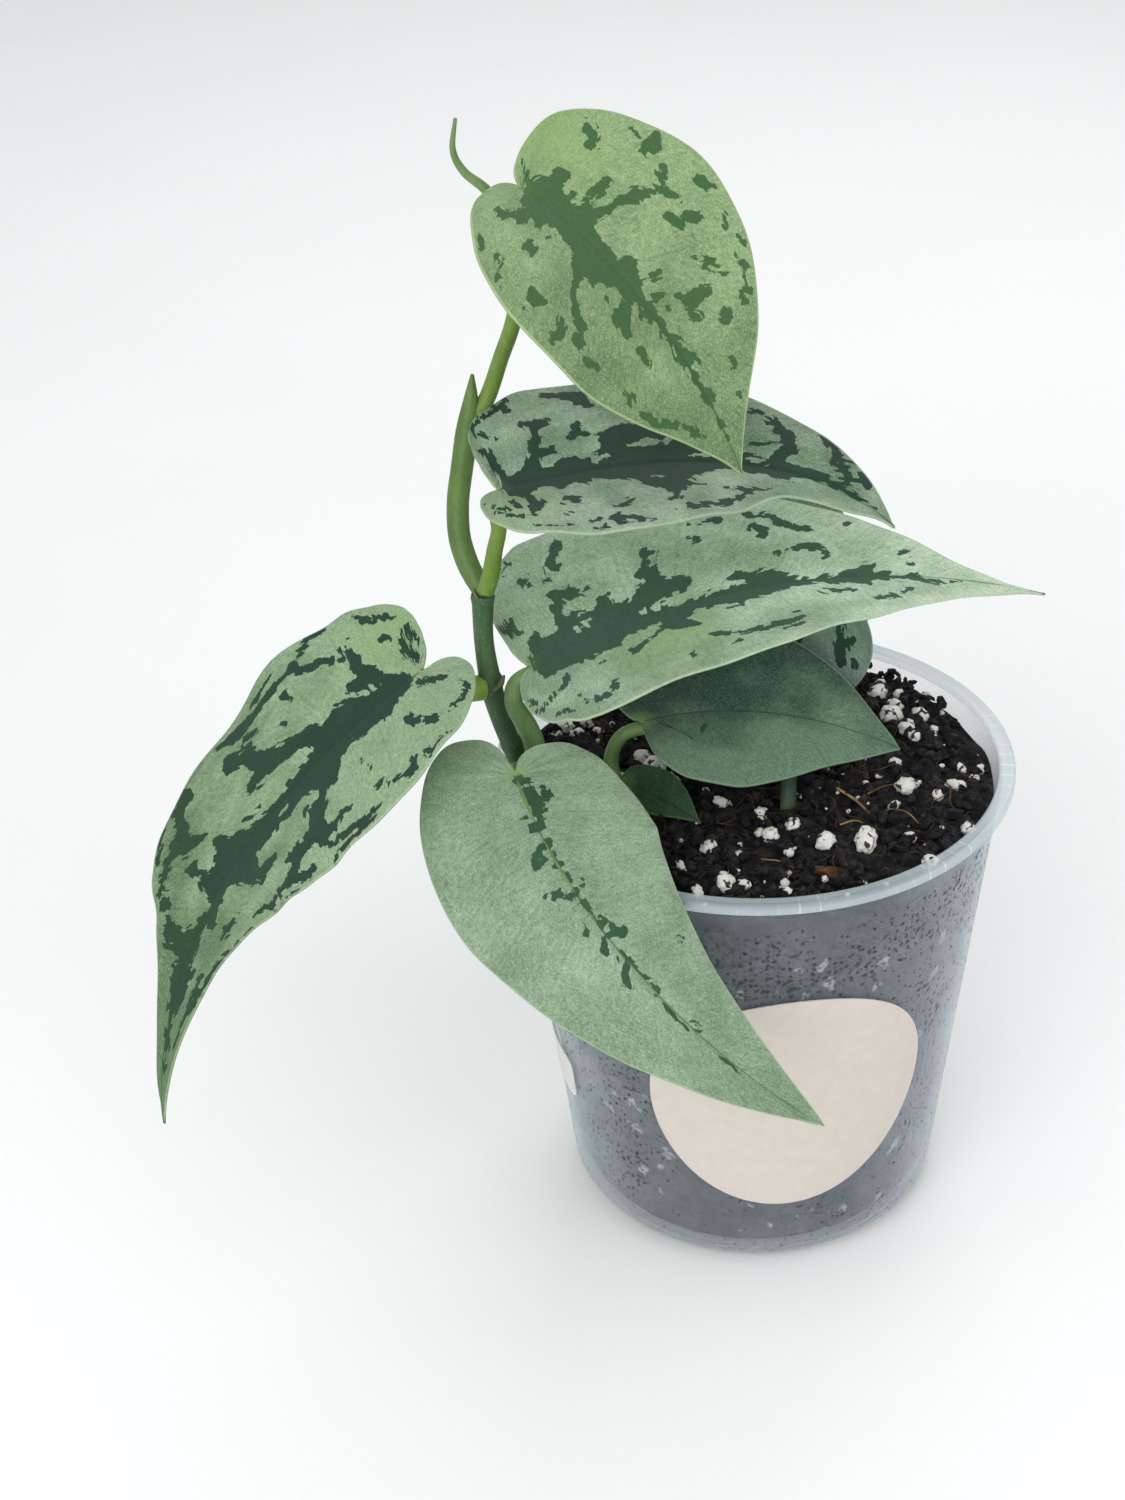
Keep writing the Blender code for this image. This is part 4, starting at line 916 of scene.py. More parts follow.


# %% [markdown]
# ## The marks on the leaves
# Satin pothos is dark green with silver blotches, or the other way round: on this plant silver covers
# most of the leaf, and what stays dark is a band along the midrib, branches along some side veins and
# scattered flecks. A noise alone would scatter them anywhere, so the main ones are drawn on the flat
# leaf, in millimetres, with the left half below zero. A patch is a closed outline of (ahead, across)
# corners, a stroke is a row of (ahead, across, radius), and a clearing is a silver patch inside a dark
# one. How far a point lies inside the nearest of them is stored on the mesh, and the finish turns that
# distance, roughened by noise, into a crisp ragged edge.

# %% Patches and strokes by leaf
PATCHES = {
    "leaf_top": (
        ((0, 0), (-0.5, -2.5), (1, -6), (2.5, -7.5), (2.8, -10.8), (5.6, -11), (6.3, -9), (5.6, -6.8),
         (7.5, -6), (8, -8.5), (9.2, -8.2), (9.4, -5), (10.6, -6.5), (10.4, -11), (11.6, -16.5),
         (12.9, -15.5), (12.3, -9), (13.6, -8.5), (15, -12), (15.6, -19), (17.5, -22), (21, -24),
         (23.5, -26), (24, -24.5), (20.5, -21.5), (19, -19), (18.8, -15), (17, -13.5), (16.5, -8),
         (16, -4.5), (20, -3), (24, -2.4), (25, -5.8), (27, -6.8), (28.2, -5), (29.6, -4.2),
         (30.8, -8.6), (32.2, -8.8), (32, -6), (30.8, -3.4), (33, -1.6), (36, -1.2), (40, -1.6), (42, -1),
         (45.5, -2.2), (47, -1.2), (48.5, -2.8), (50.5, -2.6), (51, -0.8), (54, -0.6), (58, -1.2),
         (62, -0.3), (66, -0.8), (68, 0), (66, 0.9), (61, 0.6), (57, 1.2), (53, 2), (51, 1.2), (49, 1.8),
         (47.5, 2.6), (44, 1.2), (42, 3), (40, 1.2), (38.5, 2.2), (37.5, 4), (36, 4.2), (35.5, 2),
         (33.5, 2.8), (33.2, 5), (35.5, 8.8), (38, 9.2), (38, 11), (34, 11.6), (32, 11.2), (31, 8.5),
         (28.5, 8.8), (26, 6.5), (25.5, 9.5), (23, 9.3), (21.8, 11.5), (24.5, 15), (27, 17.5), (30.5, 18.5),
         (31, 20.3), (28.5, 20), (26, 18.5), (22.5, 14.5), (19.5, 10), (18, 9.2), (17, 6.5), (15.5, 9.5),
         (14.5, 5.8), (12.8, 8), (12, 9.3), (11, 9), (11.2, 5), (9, 5.5), (8.8, 8.5), (7.3, 9.3),
         (6.5, 6.5), (5, 7), (5.8, 10), (4.5, 11.8), (3, 10.8), (1.5, 12.5), (1.2, 15), (-0.8, 14.8),
         (-0.6, 13), (1.5, 11), (3, 6.5), (1.2, 5), (1, 2)), ((24.6, 21), (27, 21.6), (29.2, 25.4),
         (28.6, 27.6), (26.4, 27), (26.8, 24.8)),),
    "leaf_second": (
        ((0, -1.5), (1.5, -4), (4.5, -3.5), (7.5, -7.5), (9, -9.5), (9.5, -13), (11, -15.5), (11.5, -17.8),
         (9.5, -19), (9.5, -21.2), (12.5, -20.5), (14, -19), (16, -19.8), (15.6, -17.2), (13.8, -15.8),
         (12.5, -12.5), (11.8, -10.5), (15.5, -9.6), (15.3, -8.2), (11, -7.6), (10.5, -4.4), (13, -3.8),
         (14.5, -5.5), (18.5, -6.5), (19.5, -4.8), (22, -6), (24.5, -7.5), (24, -10), (27, -12.5),
         (30.5, -13.5), (36, -12), (40, -9), (44, -6), (50, -4), (53, -4.5), (57, -3.5), (60, -2.8),
         (62, -3.5), (66, -2.8), (70, -3), (72, -2.3), (76, -1.8), (79, -1.3), (84, -0.7), (80, 0.3),
         (74, 0.5), (70, 0.2), (66, 1), (64, 2), (65, 4.5), (62, 4.8), (60, 3.5), (57, 4), (54, 4.5),
         (53, 3), (50, 3), (45, 6), (41.5, 8), (40.5, 10), (42.5, 12.5), (38.5, 13.5), (37, 17), (35.5, 20),
         (33.3, 20), (34.5, 17), (33.5, 14), (30.5, 12.5), (28, 10), (27.5, 8), (24, 6.5), (21, 6),
         (19, 4.5), (17, 7), (15, 5), (13, 5.5), (11.5, 7), (10.5, 6), (10, 4.5), (7.5, 4), (5, 7),
         (5.5, 11.5), (6.5, 13), (5.5, 15), (3.5, 15.5), (2.5, 18.5), (1, 19.8), (1.8, 15), (3.2, 12.5),
         (3.2, 8), (2, 6), (0.5, 4), (0, 1)), ((48.5, 13), (56, 11.8), (60.5, 11.5), (60, 13), (56.5, 14),
         (54, 18), (49, 21.8), (43, 23.6), (36, 25), (34, 24.2), (38, 22), (45, 21), (50, 18), (53, 15)),),
    "leaf_third": (
        ((0, -1.5), (1.5, -7), (3.5, -8.5), (5.5, -6), (8, -7), (9.3, -12), (9.8, -16.5), (11.7, -18),
         (11.4, -9.5), (14, -8), (18, -7.5), (19.3, -10), (22, -10), (22.5, -7), (25, -6.5), (26.5, -9),
         (29.3, -10), (28.2, -12.5), (30, -14.5), (31, -19.5), (33.8, -18.5), (32, -13), (33, -9.8),
         (39.8, -8), (39.5, -4.5), (35, -3.6), (30, -2.6), (26, -1.2), (33, -0.3), (40, -0.8), (45, -2.5),
         (46.5, -4.8), (48.5, -6), (53, -4.3), (57, -5.3), (58, -3.5), (60.3, -3), (60.8, -1.2), (70, -0.6),
         (72, -2.2), (75, -2.6), (76.5, -3.8), (78.6, -3.4), (79, -1.2), (88, -0.6), (88.3, 1), (85, 2.2),
         (80, 1.5), (78, 3.5), (72, 3), (66, 1.5), (60, 2.8), (52, 4.6), (48, 5), (44, 4.5), (38.5, 4),
         (36.5, 6.5), (39.6, 10), (39.4, 11.2), (34, 10), (30, 8.4), (29.5, 4.6), (22, 5.5), (20.5, 8.5),
         (14, 8.4), (12.5, 9.4), (10.5, 8.5), (0.8, 8.3), (0, 4)),),
    "leaf_left": (
        ((1, -0.5), (3, -3), (6, -3.5), (7, -5), (10, -6.5), (13, -6), (15, -5), (17, -5.8), (19, -5),
         (21, -3.5), (24, -5), (25.5, -8.5), (27, -11), (31, -11.5), (32.5, -15), (34.5, -19), (34, -22),
         (31, -21.5), (28, -22.5), (25.3, -23.5), (25.8, -25), (30, -24.5), (33, -26), (37, -26.5),
         (39, -25.5), (39.2, -22.5), (42, -22), (46, -23.5), (48.5, -26.5), (54, -25), (59, -24.8),
         (60.5, -23.5), (64, -20.5), (66.5, -19.5), (66, -18.3), (62, -18.8), (60, -21.5), (55, -22.5),
         (50, -21.8), (47.5, -20.5), (49, -17.5), (47.5, -15.5), (45.5, -17), (42, -17.8), (39.5, -16),
         (38.5, -13), (38.8, -9.8), (36, -11), (33.5, -10), (34.5, -7), (37, -5.5), (42, -6.5), (46, -6),
         (50, -5.8), (55, -6), (56.5, -10), (50.5, -11.5), (50.5, -14.5), (58, -14.5), (59, -12),
         (61.5, -10.5), (62.5, -7), (64.5, -5), (66, -3), (72, -4.5), (74, -6), (76, -5.5), (76, -3),
         (80, -2.5), (86, -3), (87, -6), (89.5, -5.8), (90, -4.5), (94, -4), (95.5, -3), (99, -2.5),
         (104, -2.8), (108, -2.3), (112, -1.5), (110, -0.6), (105, 0), (98, 1), (92, 1.5), (88, 4),
         (86, 2.5), (84.5, 5), (84.5, 9), (82.5, 10.5), (79.5, 13), (79, 17), (76, 18), (75, 15.5),
         (78.5, 12), (80, 8), (80, 4.5), (77, 2), (75, 0.5), (71, 0.8), (70.5, 5), (69, 8), (69.5, 13.5),
         (66.5, 12.5), (67.5, 8.5), (66, 6), (61.5, 9), (60.5, 12), (59, 11), (58, 7.5), (55, 6), (53, 3.5),
         (46, 2), (41, 2.5), (35, 3.5), (30, 5), (31, 7.5), (36, 9), (42, 10), (46, 10.3), (49, 11.5),
         (48.5, 13.8), (44.5, 15), (46, 19.5), (49.5, 22), (50, 26.5), (47.5, 27), (45, 24.5), (41, 25),
         (42, 21.5), (38, 16), (35, 13.8), (31, 12.2), (27, 11), (25, 9), (22, 10.8), (17, 9), (12.5, 6.2),
         (9.5, 5.5), (12, 8.5), (15.8, 10), (16.8, 12), (15.5, 13.3), (12.3, 12.8), (13.5, 18), (12.8, 21),
         (13.5, 26), (11, 26.3), (11.5, 21.5), (10, 17), (8.5, 12.5), (6.5, 9), (4.5, 5), (2.5, 3), (1, 1)),
         ((61, 14.5), (67, 15.5), (69, 20), (66, 23), (64.5, 28), (61, 31), (57.5, 32.5), (58.5, 28),
         (61.5, 26), (62.5, 21.5), (63.5, 19)),),
    "leaf_back": (
        ((1, 0), (3, -4), (8, -4.5), (13, -7), (17, -10), (22, -12.5), (24, -11.5), (20, -7), (22, -3.5),
         (28, -4), (33, -6.5), (39, -10), (39.5, -8.5), (35, -4), (38, -1.5), (48, -1), (57, 0), (48, 1),
         (42, 2.5), (44, 8.5), (41, 9), (36, 5), (30, 3.5), (28, 7), (31, 13), (29.5, 14), (24, 10),
         (20, 6), (15, 4), (10, 5), (11, 11), (9.5, 16.5), (8, 16), (8, 10), (5, 5), (2, 3)),),
}
MARKS = {
    "leaf_top": (
        ((18.5, -17.5, 0.6), (19.3, -18.3, 0.5)), ((35, -3, 1), (35.5, -4.5, 0.8)), ((38.5, -8, 1),
         (39.7, -11, 1.5), (40, -14.5, 0.7)), ((42, -7.5, 1.1), (43, -8.5, 0.8)), ((33.8, -16.8, 1.2),
         (37, -19.5, 1.3), (38.5, -20.7, 0.8)), ((45.4, -15.8, 0.8), (46.8, -12.8, 1)), ((37.5, -25.2, 0.8),
         (41, -24.5, 1.1), (44, -22, 0.9), (46.8, -18.5, 0.6)), ((25, -19.5, 0.9), (27.3, -20, 0.7)),
         ((27, -23, 0.8), (28.8, -24.8, 0.7)), ((23.2, -31.8, 0.7), (26, -32.3, 0.6)), ((30.8, -29.6, 0.9),
         (33, -28.3, 0.8)), ((35.2, -28.8, 0.8), (37, -28.3, 0.6)), ((17.2, -28.3, 1.3),
         (18.8, -26.3, 1.2)), ((8.6, -31.8, 0.9), (10.4, -30.8, 0.7)), ((12, -34.2, 1), (12.8, -31, 1.4),
         (12.6, -28, 1), (14, -27.3, 0.6)), ((2, -26, 1.1), (3.8, -23.5, 1.3), (4.8, -21, 0.9)),
         ((54, -9.5, 0.9), (55, -9, 0.7)), ((60, -7.5, 0.5), (61, -7.2, 0.4)), ((-3.5, -6, 0.5),
         (-1.5, -4, 0.8), (0, -2.5, 0.9)), ((15.3, -9.5, 0.4), (15.6, -8.5, 0.4)), ((37.8, -4.5, 0.5),
         (38.5, -3.8, 0.4)), ((42, 9.8, 0.7), (44.5, 10, 0.7)), ((10, 14.3, 1.1), (10.2, 16, 1)),
         ((17.3, 23, 1), (19.5, 23, 1.2), (18.5, 24.8, 0.8)), ((6, 23.5, 0.6), (8, 25, 0.9),
         (7.6, 24.2, 0.8)), ((0.5, 23.5, 0.5), (2.3, 24.8, 0.6)), ((9, 27, 0.6), (11, 28.5, 0.6)),
         ((18.6, 27.6, 0.7), (20.6, 27.4, 0.7)), ((31.3, 22.2, 0.7), (34, 22.4, 1), (36, 23.5, 1),
         (39, 22, 0.6)), ((46, 20, 0.6), (49.5, 18.4, 0.9)), ((55.5, 16.5, 0.6), (57.5, 13.5, 0.7),
         (59, 11.5, 0.6)), ((60.5, 9.3, 0.7), (62.5, 7.4, 0.7), (64.8, 5.2, 0.6)), ((53, 18, 0.5),
         (54.2, 16.8, 0.5)),),
    "leaf_second": (
        ((20.8, -15, 0.9), (20.5, -12.3, 1.3), (22.3, -12, 0.8)), ((20.7, -16, 0.8), (20.3, -15, 0.8)),
         ((18.6, -12, 0.6), (20, -12, 0.8)), ((0.5, -20, 0.8), (3.3, -17, 0.6)), ((0, -22, 0.7),
         (2.5, -25, 0.8), (7, -27.5, 1.4), (10, -30, 1.2), (9, -26.5, 1)), ((17.5, -30, 1.2),
         (20, -28, 1.6), (24, -27, 2), (25, -22.5, 1.4)), ((0, -13.5, 0.8), (1.2, -9, 0.9), (1, -5, 1)),
         ((60, -3, 1.6), (61.3, -8, 1.6), (59.8, -12, 1.3), (57, -16, 1.1), (53.5, -18.3, 0.9)),
         ((54, -6.8, 0.7), (60, -8.2, 0.9)), ((66.5, -13.5, 0.6), (70, -10.5, 1), (72.3, -6.5, 1.6),
         (75, -3, 1.2)), ((69, -12.8, 0.6), (74, -8.5, 0.8), (79, -4.5, 0.6)), ((17, 5, 0.8), (18, 8, 0.6)),
         ((19.3, 6, 0.4), (20.5, 8, 0.4)), ((-5.5, 8.5, 0.4), (-3.5, 9.5, 0.4)), ((-5, 10.5, 0.5),
         (-3, 12.8, 0.5)), ((-4.5, 14, 0.5), (-1, 17.8, 0.7), (2, 18.5, 0.8)), ((0.5, 8.5, 0.5),
         (0.8, 13, 0.5)), ((-2.2, 11, 0.4), (-1.6, 13.5, 0.4)), ((9.5, 14.8, 0.8), (11.3, 12, 0.8),
         (12.3, 14.3, 1.3), (13.5, 16, 0.6)), ((10.8, 14, 0.9), (13.8, 13.8, 0.7)), ((8.4, 21.5, 0.9),
         (9.2, 20.5, 0.8)), ((20, 20.5, 0.7), (23, 19.3, 0.8), (25.5, 17.2, 0.8)), ((15, 28.2, 0.6),
         (19.5, 25.5, 1.3), (22.5, 27, 1), (27, 28, 0.6)), ((12, 29, 0.6), (19, 28.8, 0.6),
         (26, 28.8, 0.5)), ((1, 24, 0.5), (4, 25.8, 0.7), (7, 26.8, 0.6)), ((12.5, 25.8, 0.6),
         (14, 25.3, 0.6)), ((39, 12.5, 1), (43, 12.3, 0.9)),),
    "leaf_third": (
        ((16.5, -33, 1), (15, -30, 1.4), (13.5, -26, 1.5), (12.8, -23.5, 1)), ((3, -30, 0.8),
         (5.3, -33, 0.8)), ((6.6, -25, 1), (7.4, -22.8, 1)), ((13, -17.5, 0.8), (14, -14, 1.2)),
         ((17.2, -12.6, 0.7), (18.6, -15, 0.7)), ((-2.5, -15, 0.6), (-0.5, -11, 0.7)), ((0, -14.5, 1),
         (0.6, -10.5, 1)), ((42, -23.3, 0.8), (46.8, -22.3, 1)), ((40.2, -19.3, 1), (42.2, -17.8, 0.9)),
         ((52.5, -22, 0.5), (57, -21, 0.9), (59.5, -18, 0.9), (62, -15.5, 0.8), (65, -14.7, 0.7)),
         ((54, -17.8, 1), (56, -15.2, 1.1)), ((58.8, -8.8, 0.9), (61, -10.3, 0.9), (67, -9, 1),
         (69, -6.3, 0.6)), ((72.5, -15.8, 0.5), (73.8, -15, 0.5)), ((84, -7, 0.6), (85.8, -5.8, 0.6)),
         ((84.6, -4.2, 0.5), (86.5, -3.6, 0.5)), ((88, 1, 0.6), (93, 1.6, 0.7), (97, 1.2, 0.5)),
         ((80, 9.5, 0.7), (84, 8.3, 1), (86.5, 5.6, 0.9)), ((67.8, 5, 0.8), (74, 5.6, 0.8)),
         ((44.5, 6, 0.5), (48.5, 6.2, 0.6)), ((20.3, 14.8, 0.7), (23.5, 12.4, 1.1), (27, 9.6, 1),
         (30, 8.3, 1)), ((41.3, 16.6, 0.8), (45, 17.8, 0.9), (49, 18.3, 1), (54, 18, 0.9), (60, 17.2, 1.1),
         (62, 15.7, 1)), ((60.5, 13.3, 0.8), (63, 12.9, 0.7)), ((58.5, 19.8, 0.5), (63, 18.6, 0.5)),
         ((35, 23.6, 0.8), (37.3, 20.6, 0.9)), ((44.5, 22.5, 0.5), (47.5, 21.5, 0.6)), ((5.5, 11.5, 0.9),
         (4.5, 14.8, 0.9), (1, 16.6, 0.8), (-0.5, 18.6, 0.5)), ((-3.5, 20, 0.9), (-1.3, 18.6, 0.7)),
         ((-4.2, 14, 0.5), (-3.6, 16.8, 0.6)), ((6.4, 21.5, 0.5), (7.5, 25, 0.8), (11, 27.3, 0.7),
         (14.6, 26, 0.9), (15.8, 23.3, 0.9)), ((0, 25.3, 0.5), (3, 27, 0.8)), ((14, 12.5, 0.4),
         (14.8, 12.3, 0.4)), ((10.5, -22, 0.4), (11, -21, 0.4)),),
    "leaf_left": (
        ((43, -29.5, 1.2), (46, -28.5, 1.6), (49, -25.5, 1.6)), ((50, -29.5, 0.4), (56, -27.5, 0.5),
         (60, -25.5, 0.6)), ((19.5, -31.8, 0.8), (25, -31.8, 1.1), (30, -30.3, 1), (35.5, -28, 0.8)),
         ((22, -33.6, 0.5), (30, -34, 0.6), (38, -32.6, 0.7)), ((7.5, -28, 1), (10, -30.5, 1.4),
         (15, -29, 1)), ((8.5, -31.8, 0.7), (10, -30, 0.8)), ((-0.5, -29.5, 0.7), (4, -31.5, 1.1),
         (5.2, -28.5, 0.9)), ((17.6, -26, 1.2), (18.6, -25.5, 1)), ((-9, -20, 0.8), (-7, -22.5, 1),
         (-3.5, -21.3, 0.7)), ((-8.5, -16, 0.5), (-9.5, -19, 0.6)), ((0, -22, 1), (3, -18.8, 1),
         (5.8, -15, 1.2), (6.2, -12, 0.8)), ((18.5, -19, 0.4), (19, -16, 0.6), (20, -13, 0.5)),
         ((-5.5, -9.3, 0.8), (-2, -6.8, 1.2), (1, -3, 1)), ((68.5, -12.5, 0.7), (73, -12, 1.5),
         (76, -11, 1.1)), ((68, -21.5, 0.5), (76, -18, 0.8), (84, -13.5, 1), (92, -10, 0.9),
         (98, -7.5, 0.7)), ((87, -8.8, 1), (91, -8.3, 1), (94.5, -7, 0.8)), ((100, -6, 0.4),
         (106, -4, 0.4)), ((14.5, 22, 0.8), (18, 25, 1.1), (21, 26.3, 1.5), (24, 28.5, 0.9)),
         ((-1.5, 4, 1.2), (0, 9, 1.2), (-0.5, 14, 0.8)), ((-4, 8, 0.6), (-3, 12, 0.8), (-2.8, 16, 0.7)),
         ((2.3, 16.5, 0.9), (3.2, 18, 1)), ((2.5, 26, 1), (5, 28.5, 1.6), (6.8, 31.5, 0.9)), ((-1, 22, 0.7),
         (1, 25, 0.7)), ((12, 37, 0.8), (19, 36.2, 1.4), (22, 34, 1)), ((20, 33.5, 0.9), (25, 30.2, 1),
         (31, 29.2, 1.1), (37, 29.5, 1.1), (42, 31.2, 1.1), (48, 33, 1.2)), ((30, 33.5, 0.5),
         (38, 32.5, 0.5)), ((29, 22.5, 1), (29.8, 25.5, 1)), ((29.8, 25.8, 0.9), (28, 26.5, 0.6)),
         ((39.5, 25, 0.8), (42, 26, 1)), ((38, 28.5, 0.6), (45, 30, 0.7)), ((48, 5, 0.5), (53, 6, 0.6)),
         ((67, 22.5, 1.2), (72, 20.5, 1.2), (77, 17.5, 1)), ((72, 25, 0.9), (66, 30, 1.2), (60, 33.5, 0.9)),
         ((59, 31, 0.9), (63, 32.3, 0.8)), ((12, 3, 0.3), (14, 2.5, 0.3)), ((32, 17, 0.3),
         (33.5, 19, 0.4)),),
    "leaf_front": (
        ((1, -0.4, 0.9), (6, -1.2, 1), (12, -0.9, 0.6), (20, -0.6, 0.5), (30, -0.5, 0.4), (47, -0.4, 0.4),
         (55, -0.4, 0.4), (61, -0.5, 0.4)), ((62, 0.6, 0.25), (72, 1, 0.3)), ((80, 1, 0.3),
         (85, 0.5, 0.35)), ((71.5, -1, 0.6), (73, -1.2, 0.5)), ((4.5, -4.6, 0.9), (8.8, -4.6, 1)),
         ((2.5, -2, 0.8), (9, -2.3, 1.3), (14, -1.5, 0.8)), ((12, 1.5, 0.6), (16, 1.5, 0.7)),
         ((20.5, 1, 0.6), (22.5, 2.6, 1.2), (26, 0.8, 0.5)), ((22, 3, 1.1), (24.5, 4.4, 0.9)),
         ((34.5, 1.2, 1), (32.4, 3, 1.1), (31.4, 5.8, 0.5)), ((32.3, -2.3, 0.6), (33, -2.2, 0.5)),
         ((40.5, -1.4, 0.6), (43.5, -2.2, 1), (47, -3.2, 1)), ((45, -1.6, 0.7), (48, -1.4, 0.5)),
         ((41, 2.4, 0.5), (43, 3.3, 0.5)), ((45, 1, 0.5), (48, 2, 0.7), (51, 1.3, 0.5)), ((53.5, 1.5, 0.6),
         (55.3, 2.7, 0.9), (57.3, 3.6, 0.6)), ((55, -12.6, 0.5), (57, -12.2, 0.6)), ((59, -0.9, 0.5),
         (62, -0.6, 0.4)),),
    "leaf_low": (
        ((2.5, 2, 0.2), (5, 4, 0.25), (7, 6, 0.25), (8.7, 8.7, 0.25)), ((11, 8, 0.25), (12.5, 5.5, 0.3),
         (14.3, 3.5, 0.3)),),
    "leaf_back": (
        ((3, -9, 0.9), (5.5, -12.5, 1.4), (7, -16, 1)), ((2.8, -13, 0.6), (3.3, -14, 0.6)),
         ((4.5, -17.5, 0.7), (5, -18.3, 0.6)), ((15, 20, 1), (19, 21.5, 0.9)), ((24, -17, 0.9),
         (27, -17.5, 0.7)), ((44, -4.5, 0.8), (48, -5, 0.6)), ((36, 14, 0.7), (40, 13.5, 0.6)),),
}
CLEARINGS = {
    "leaf_top": (
        ((28, 4.6), (30.8, 5.4), (31.3, 7.8), (29.4, 8.8), (28.2, 7)), ((12.3, 5.3), (13.5, 6),
         (12.6, 7.2)),),
    "leaf_second": (
        ((30, -6.6), (34, -8.6), (39, -7.4), (35, -5.4)), ((42, -2.4), (47, -3.4), (49, -2.6), (44, -1.6)),
         ((32, 6.5), (35, 7.2), (33.5, 8.4)), ((21, -3.4), (24, -4.6), (25, -4), (22.5, -2.8)), ((54, -2.2),
         (58, -2.2), (58, -1.4), (54.5, -1.4)),),
    "leaf_third": (
        ((12, -4.4), (17, -5.6), (16, -3.8), (13, -3.2)), ((43.8, -1.9), (46, -3.4), (50.4, -3.2),
         (50.8, -2), (46.5, -1.1)),),
    "leaf_left": (
        ((42, -3.6), (46, -3.4), (44, -1.6), (41.5, -2)), ((77, 13), (79, 12.6), (78.4, 14.4)),),
}

print(sum(len(patches) for patches in PATCHES.values()), "patches and",
      sum(len(strokes) for strokes in MARKS.values()), "strokes of dark green")


# %% [markdown]
# The distance to a stroke is measured to its middle line and taken from its radius, which changes along
# it. A stroke with a radius under 0.65 mm counts as that deep in its middle, or the roughening would
# break it up. For a patch, the nearest run of its outline gives the distance. Whether a point is inside
# follows from how many runs lie ahead of it: an odd number means inside.

# %% Distance into the marks
MARK_LIMIT = 3.0
STEADY_RADIUS = 0.65
FAR_AWAY = 99.0


def to_run(spot, start, end):
    """How far along a straight run each point lies, from 0 to 1, and its distance from it."""
    run = np.subtract(end, start)
    share = np.clip((spot - start) @ run / max(run @ run, 1e-6), 0, 1)
    return share, np.linalg.norm(spot - start - share[:, None] * run, axis=1)


def stroke_depth(spot, strokes):
    """How far each (ahead, across) point lies inside the nearest stroke, below zero outside."""
    depth = np.full(len(spot), -MARK_LIMIT)
    for stroke in strokes:
        for first, last in zip(stroke, stroke[1:]):
            share, away = to_run(spot, first[:2], last[:2])
            radius = first[2] + (last[2] - first[2]) * share
            depth = np.maximum(depth, (radius - away) * np.maximum(1, STEADY_RADIUS / radius))
    return depth


def patch_depth(spot, patches):
    """How far each (ahead, across) point lies inside the nearest patch, below zero outside."""
    depth = np.full(len(spot), -MARK_LIMIT)
    for patch in patches:
        nearest, inside = np.full(len(spot), FAR_AWAY), np.zeros(len(spot), bool)
        for start, end in zip(patch, patch[1:] + patch[:1]):
            nearest = np.minimum(nearest, to_run(spot, start, end)[1])
            if start[1] != end[1]:
                passes = (spot[:, 1] < start[1]) != (spot[:, 1] < end[1])
                at = start[0] + (spot[:, 1] - start[1]) * (end[0] - start[0]) / (end[1] - start[1])
                inside ^= passes & (spot[:, 0] < at)
        depth = np.maximum(depth, np.where(inside, nearest, -nearest))
    return depth


# %% [markdown]
# ## Building a leaf
# A blade starts as a flat grid with a column down the midrib. Its points are carried to the ruled lines
# and bent in one go. Side veins quilt the surface by a tenth of a millimetre, the margin ripples by a
# third of one, and the midrib is a shallow groove. Solidify then gives the blade its thickness, with
# the pale underside as a second finish. Three things are stored for the upper finish: the flat place,
# the place along and out from the midrib by the veins, and how deep in a mark each point lies.

# %% Blade of a leaf
BLADE_THICK = 0.55
HALF_COLUMNS = 56
ROWS_LOBE, ROWS_BROAD, ROWS_TIP = 32, 42, 84
RIB_START, RIB_EASE = 0.30, 1.3
VEIN_SPACING = 7.0
QUILT_HEIGHT = 0.10
RIPPLES, RIPPLE_HEIGHT, RIPPLE_FROM = (3.1, 1.7), 0.35, 20


def blade_rows(fine):
    """Stations from just past the notch to the tip, closer together round the lobes."""
    broad_end = LOBE_SHARE + BROAD_SHARE
    lobe = np.linspace(0, LOBE_SHARE, round(ROWS_LOBE * fine), endpoint=False)[1:]
    broad = np.linspace(LOBE_SHARE, broad_end, round(ROWS_BROAD * fine), endpoint=False)
    return np.concatenate([lobe, broad, np.linspace(broad_end, 1, round(ROWS_TIP * fine) + 1)])


def store(piece, name, kind, values):
    """Keeps one value per point on the mesh, for the finish to read."""
    layer = piece.data.attributes.new(name, kind, "POINT")
    layer.data.foreach_set("vector" if kind == "FLOAT_VECTOR" else "value", np.asarray(values).ravel())


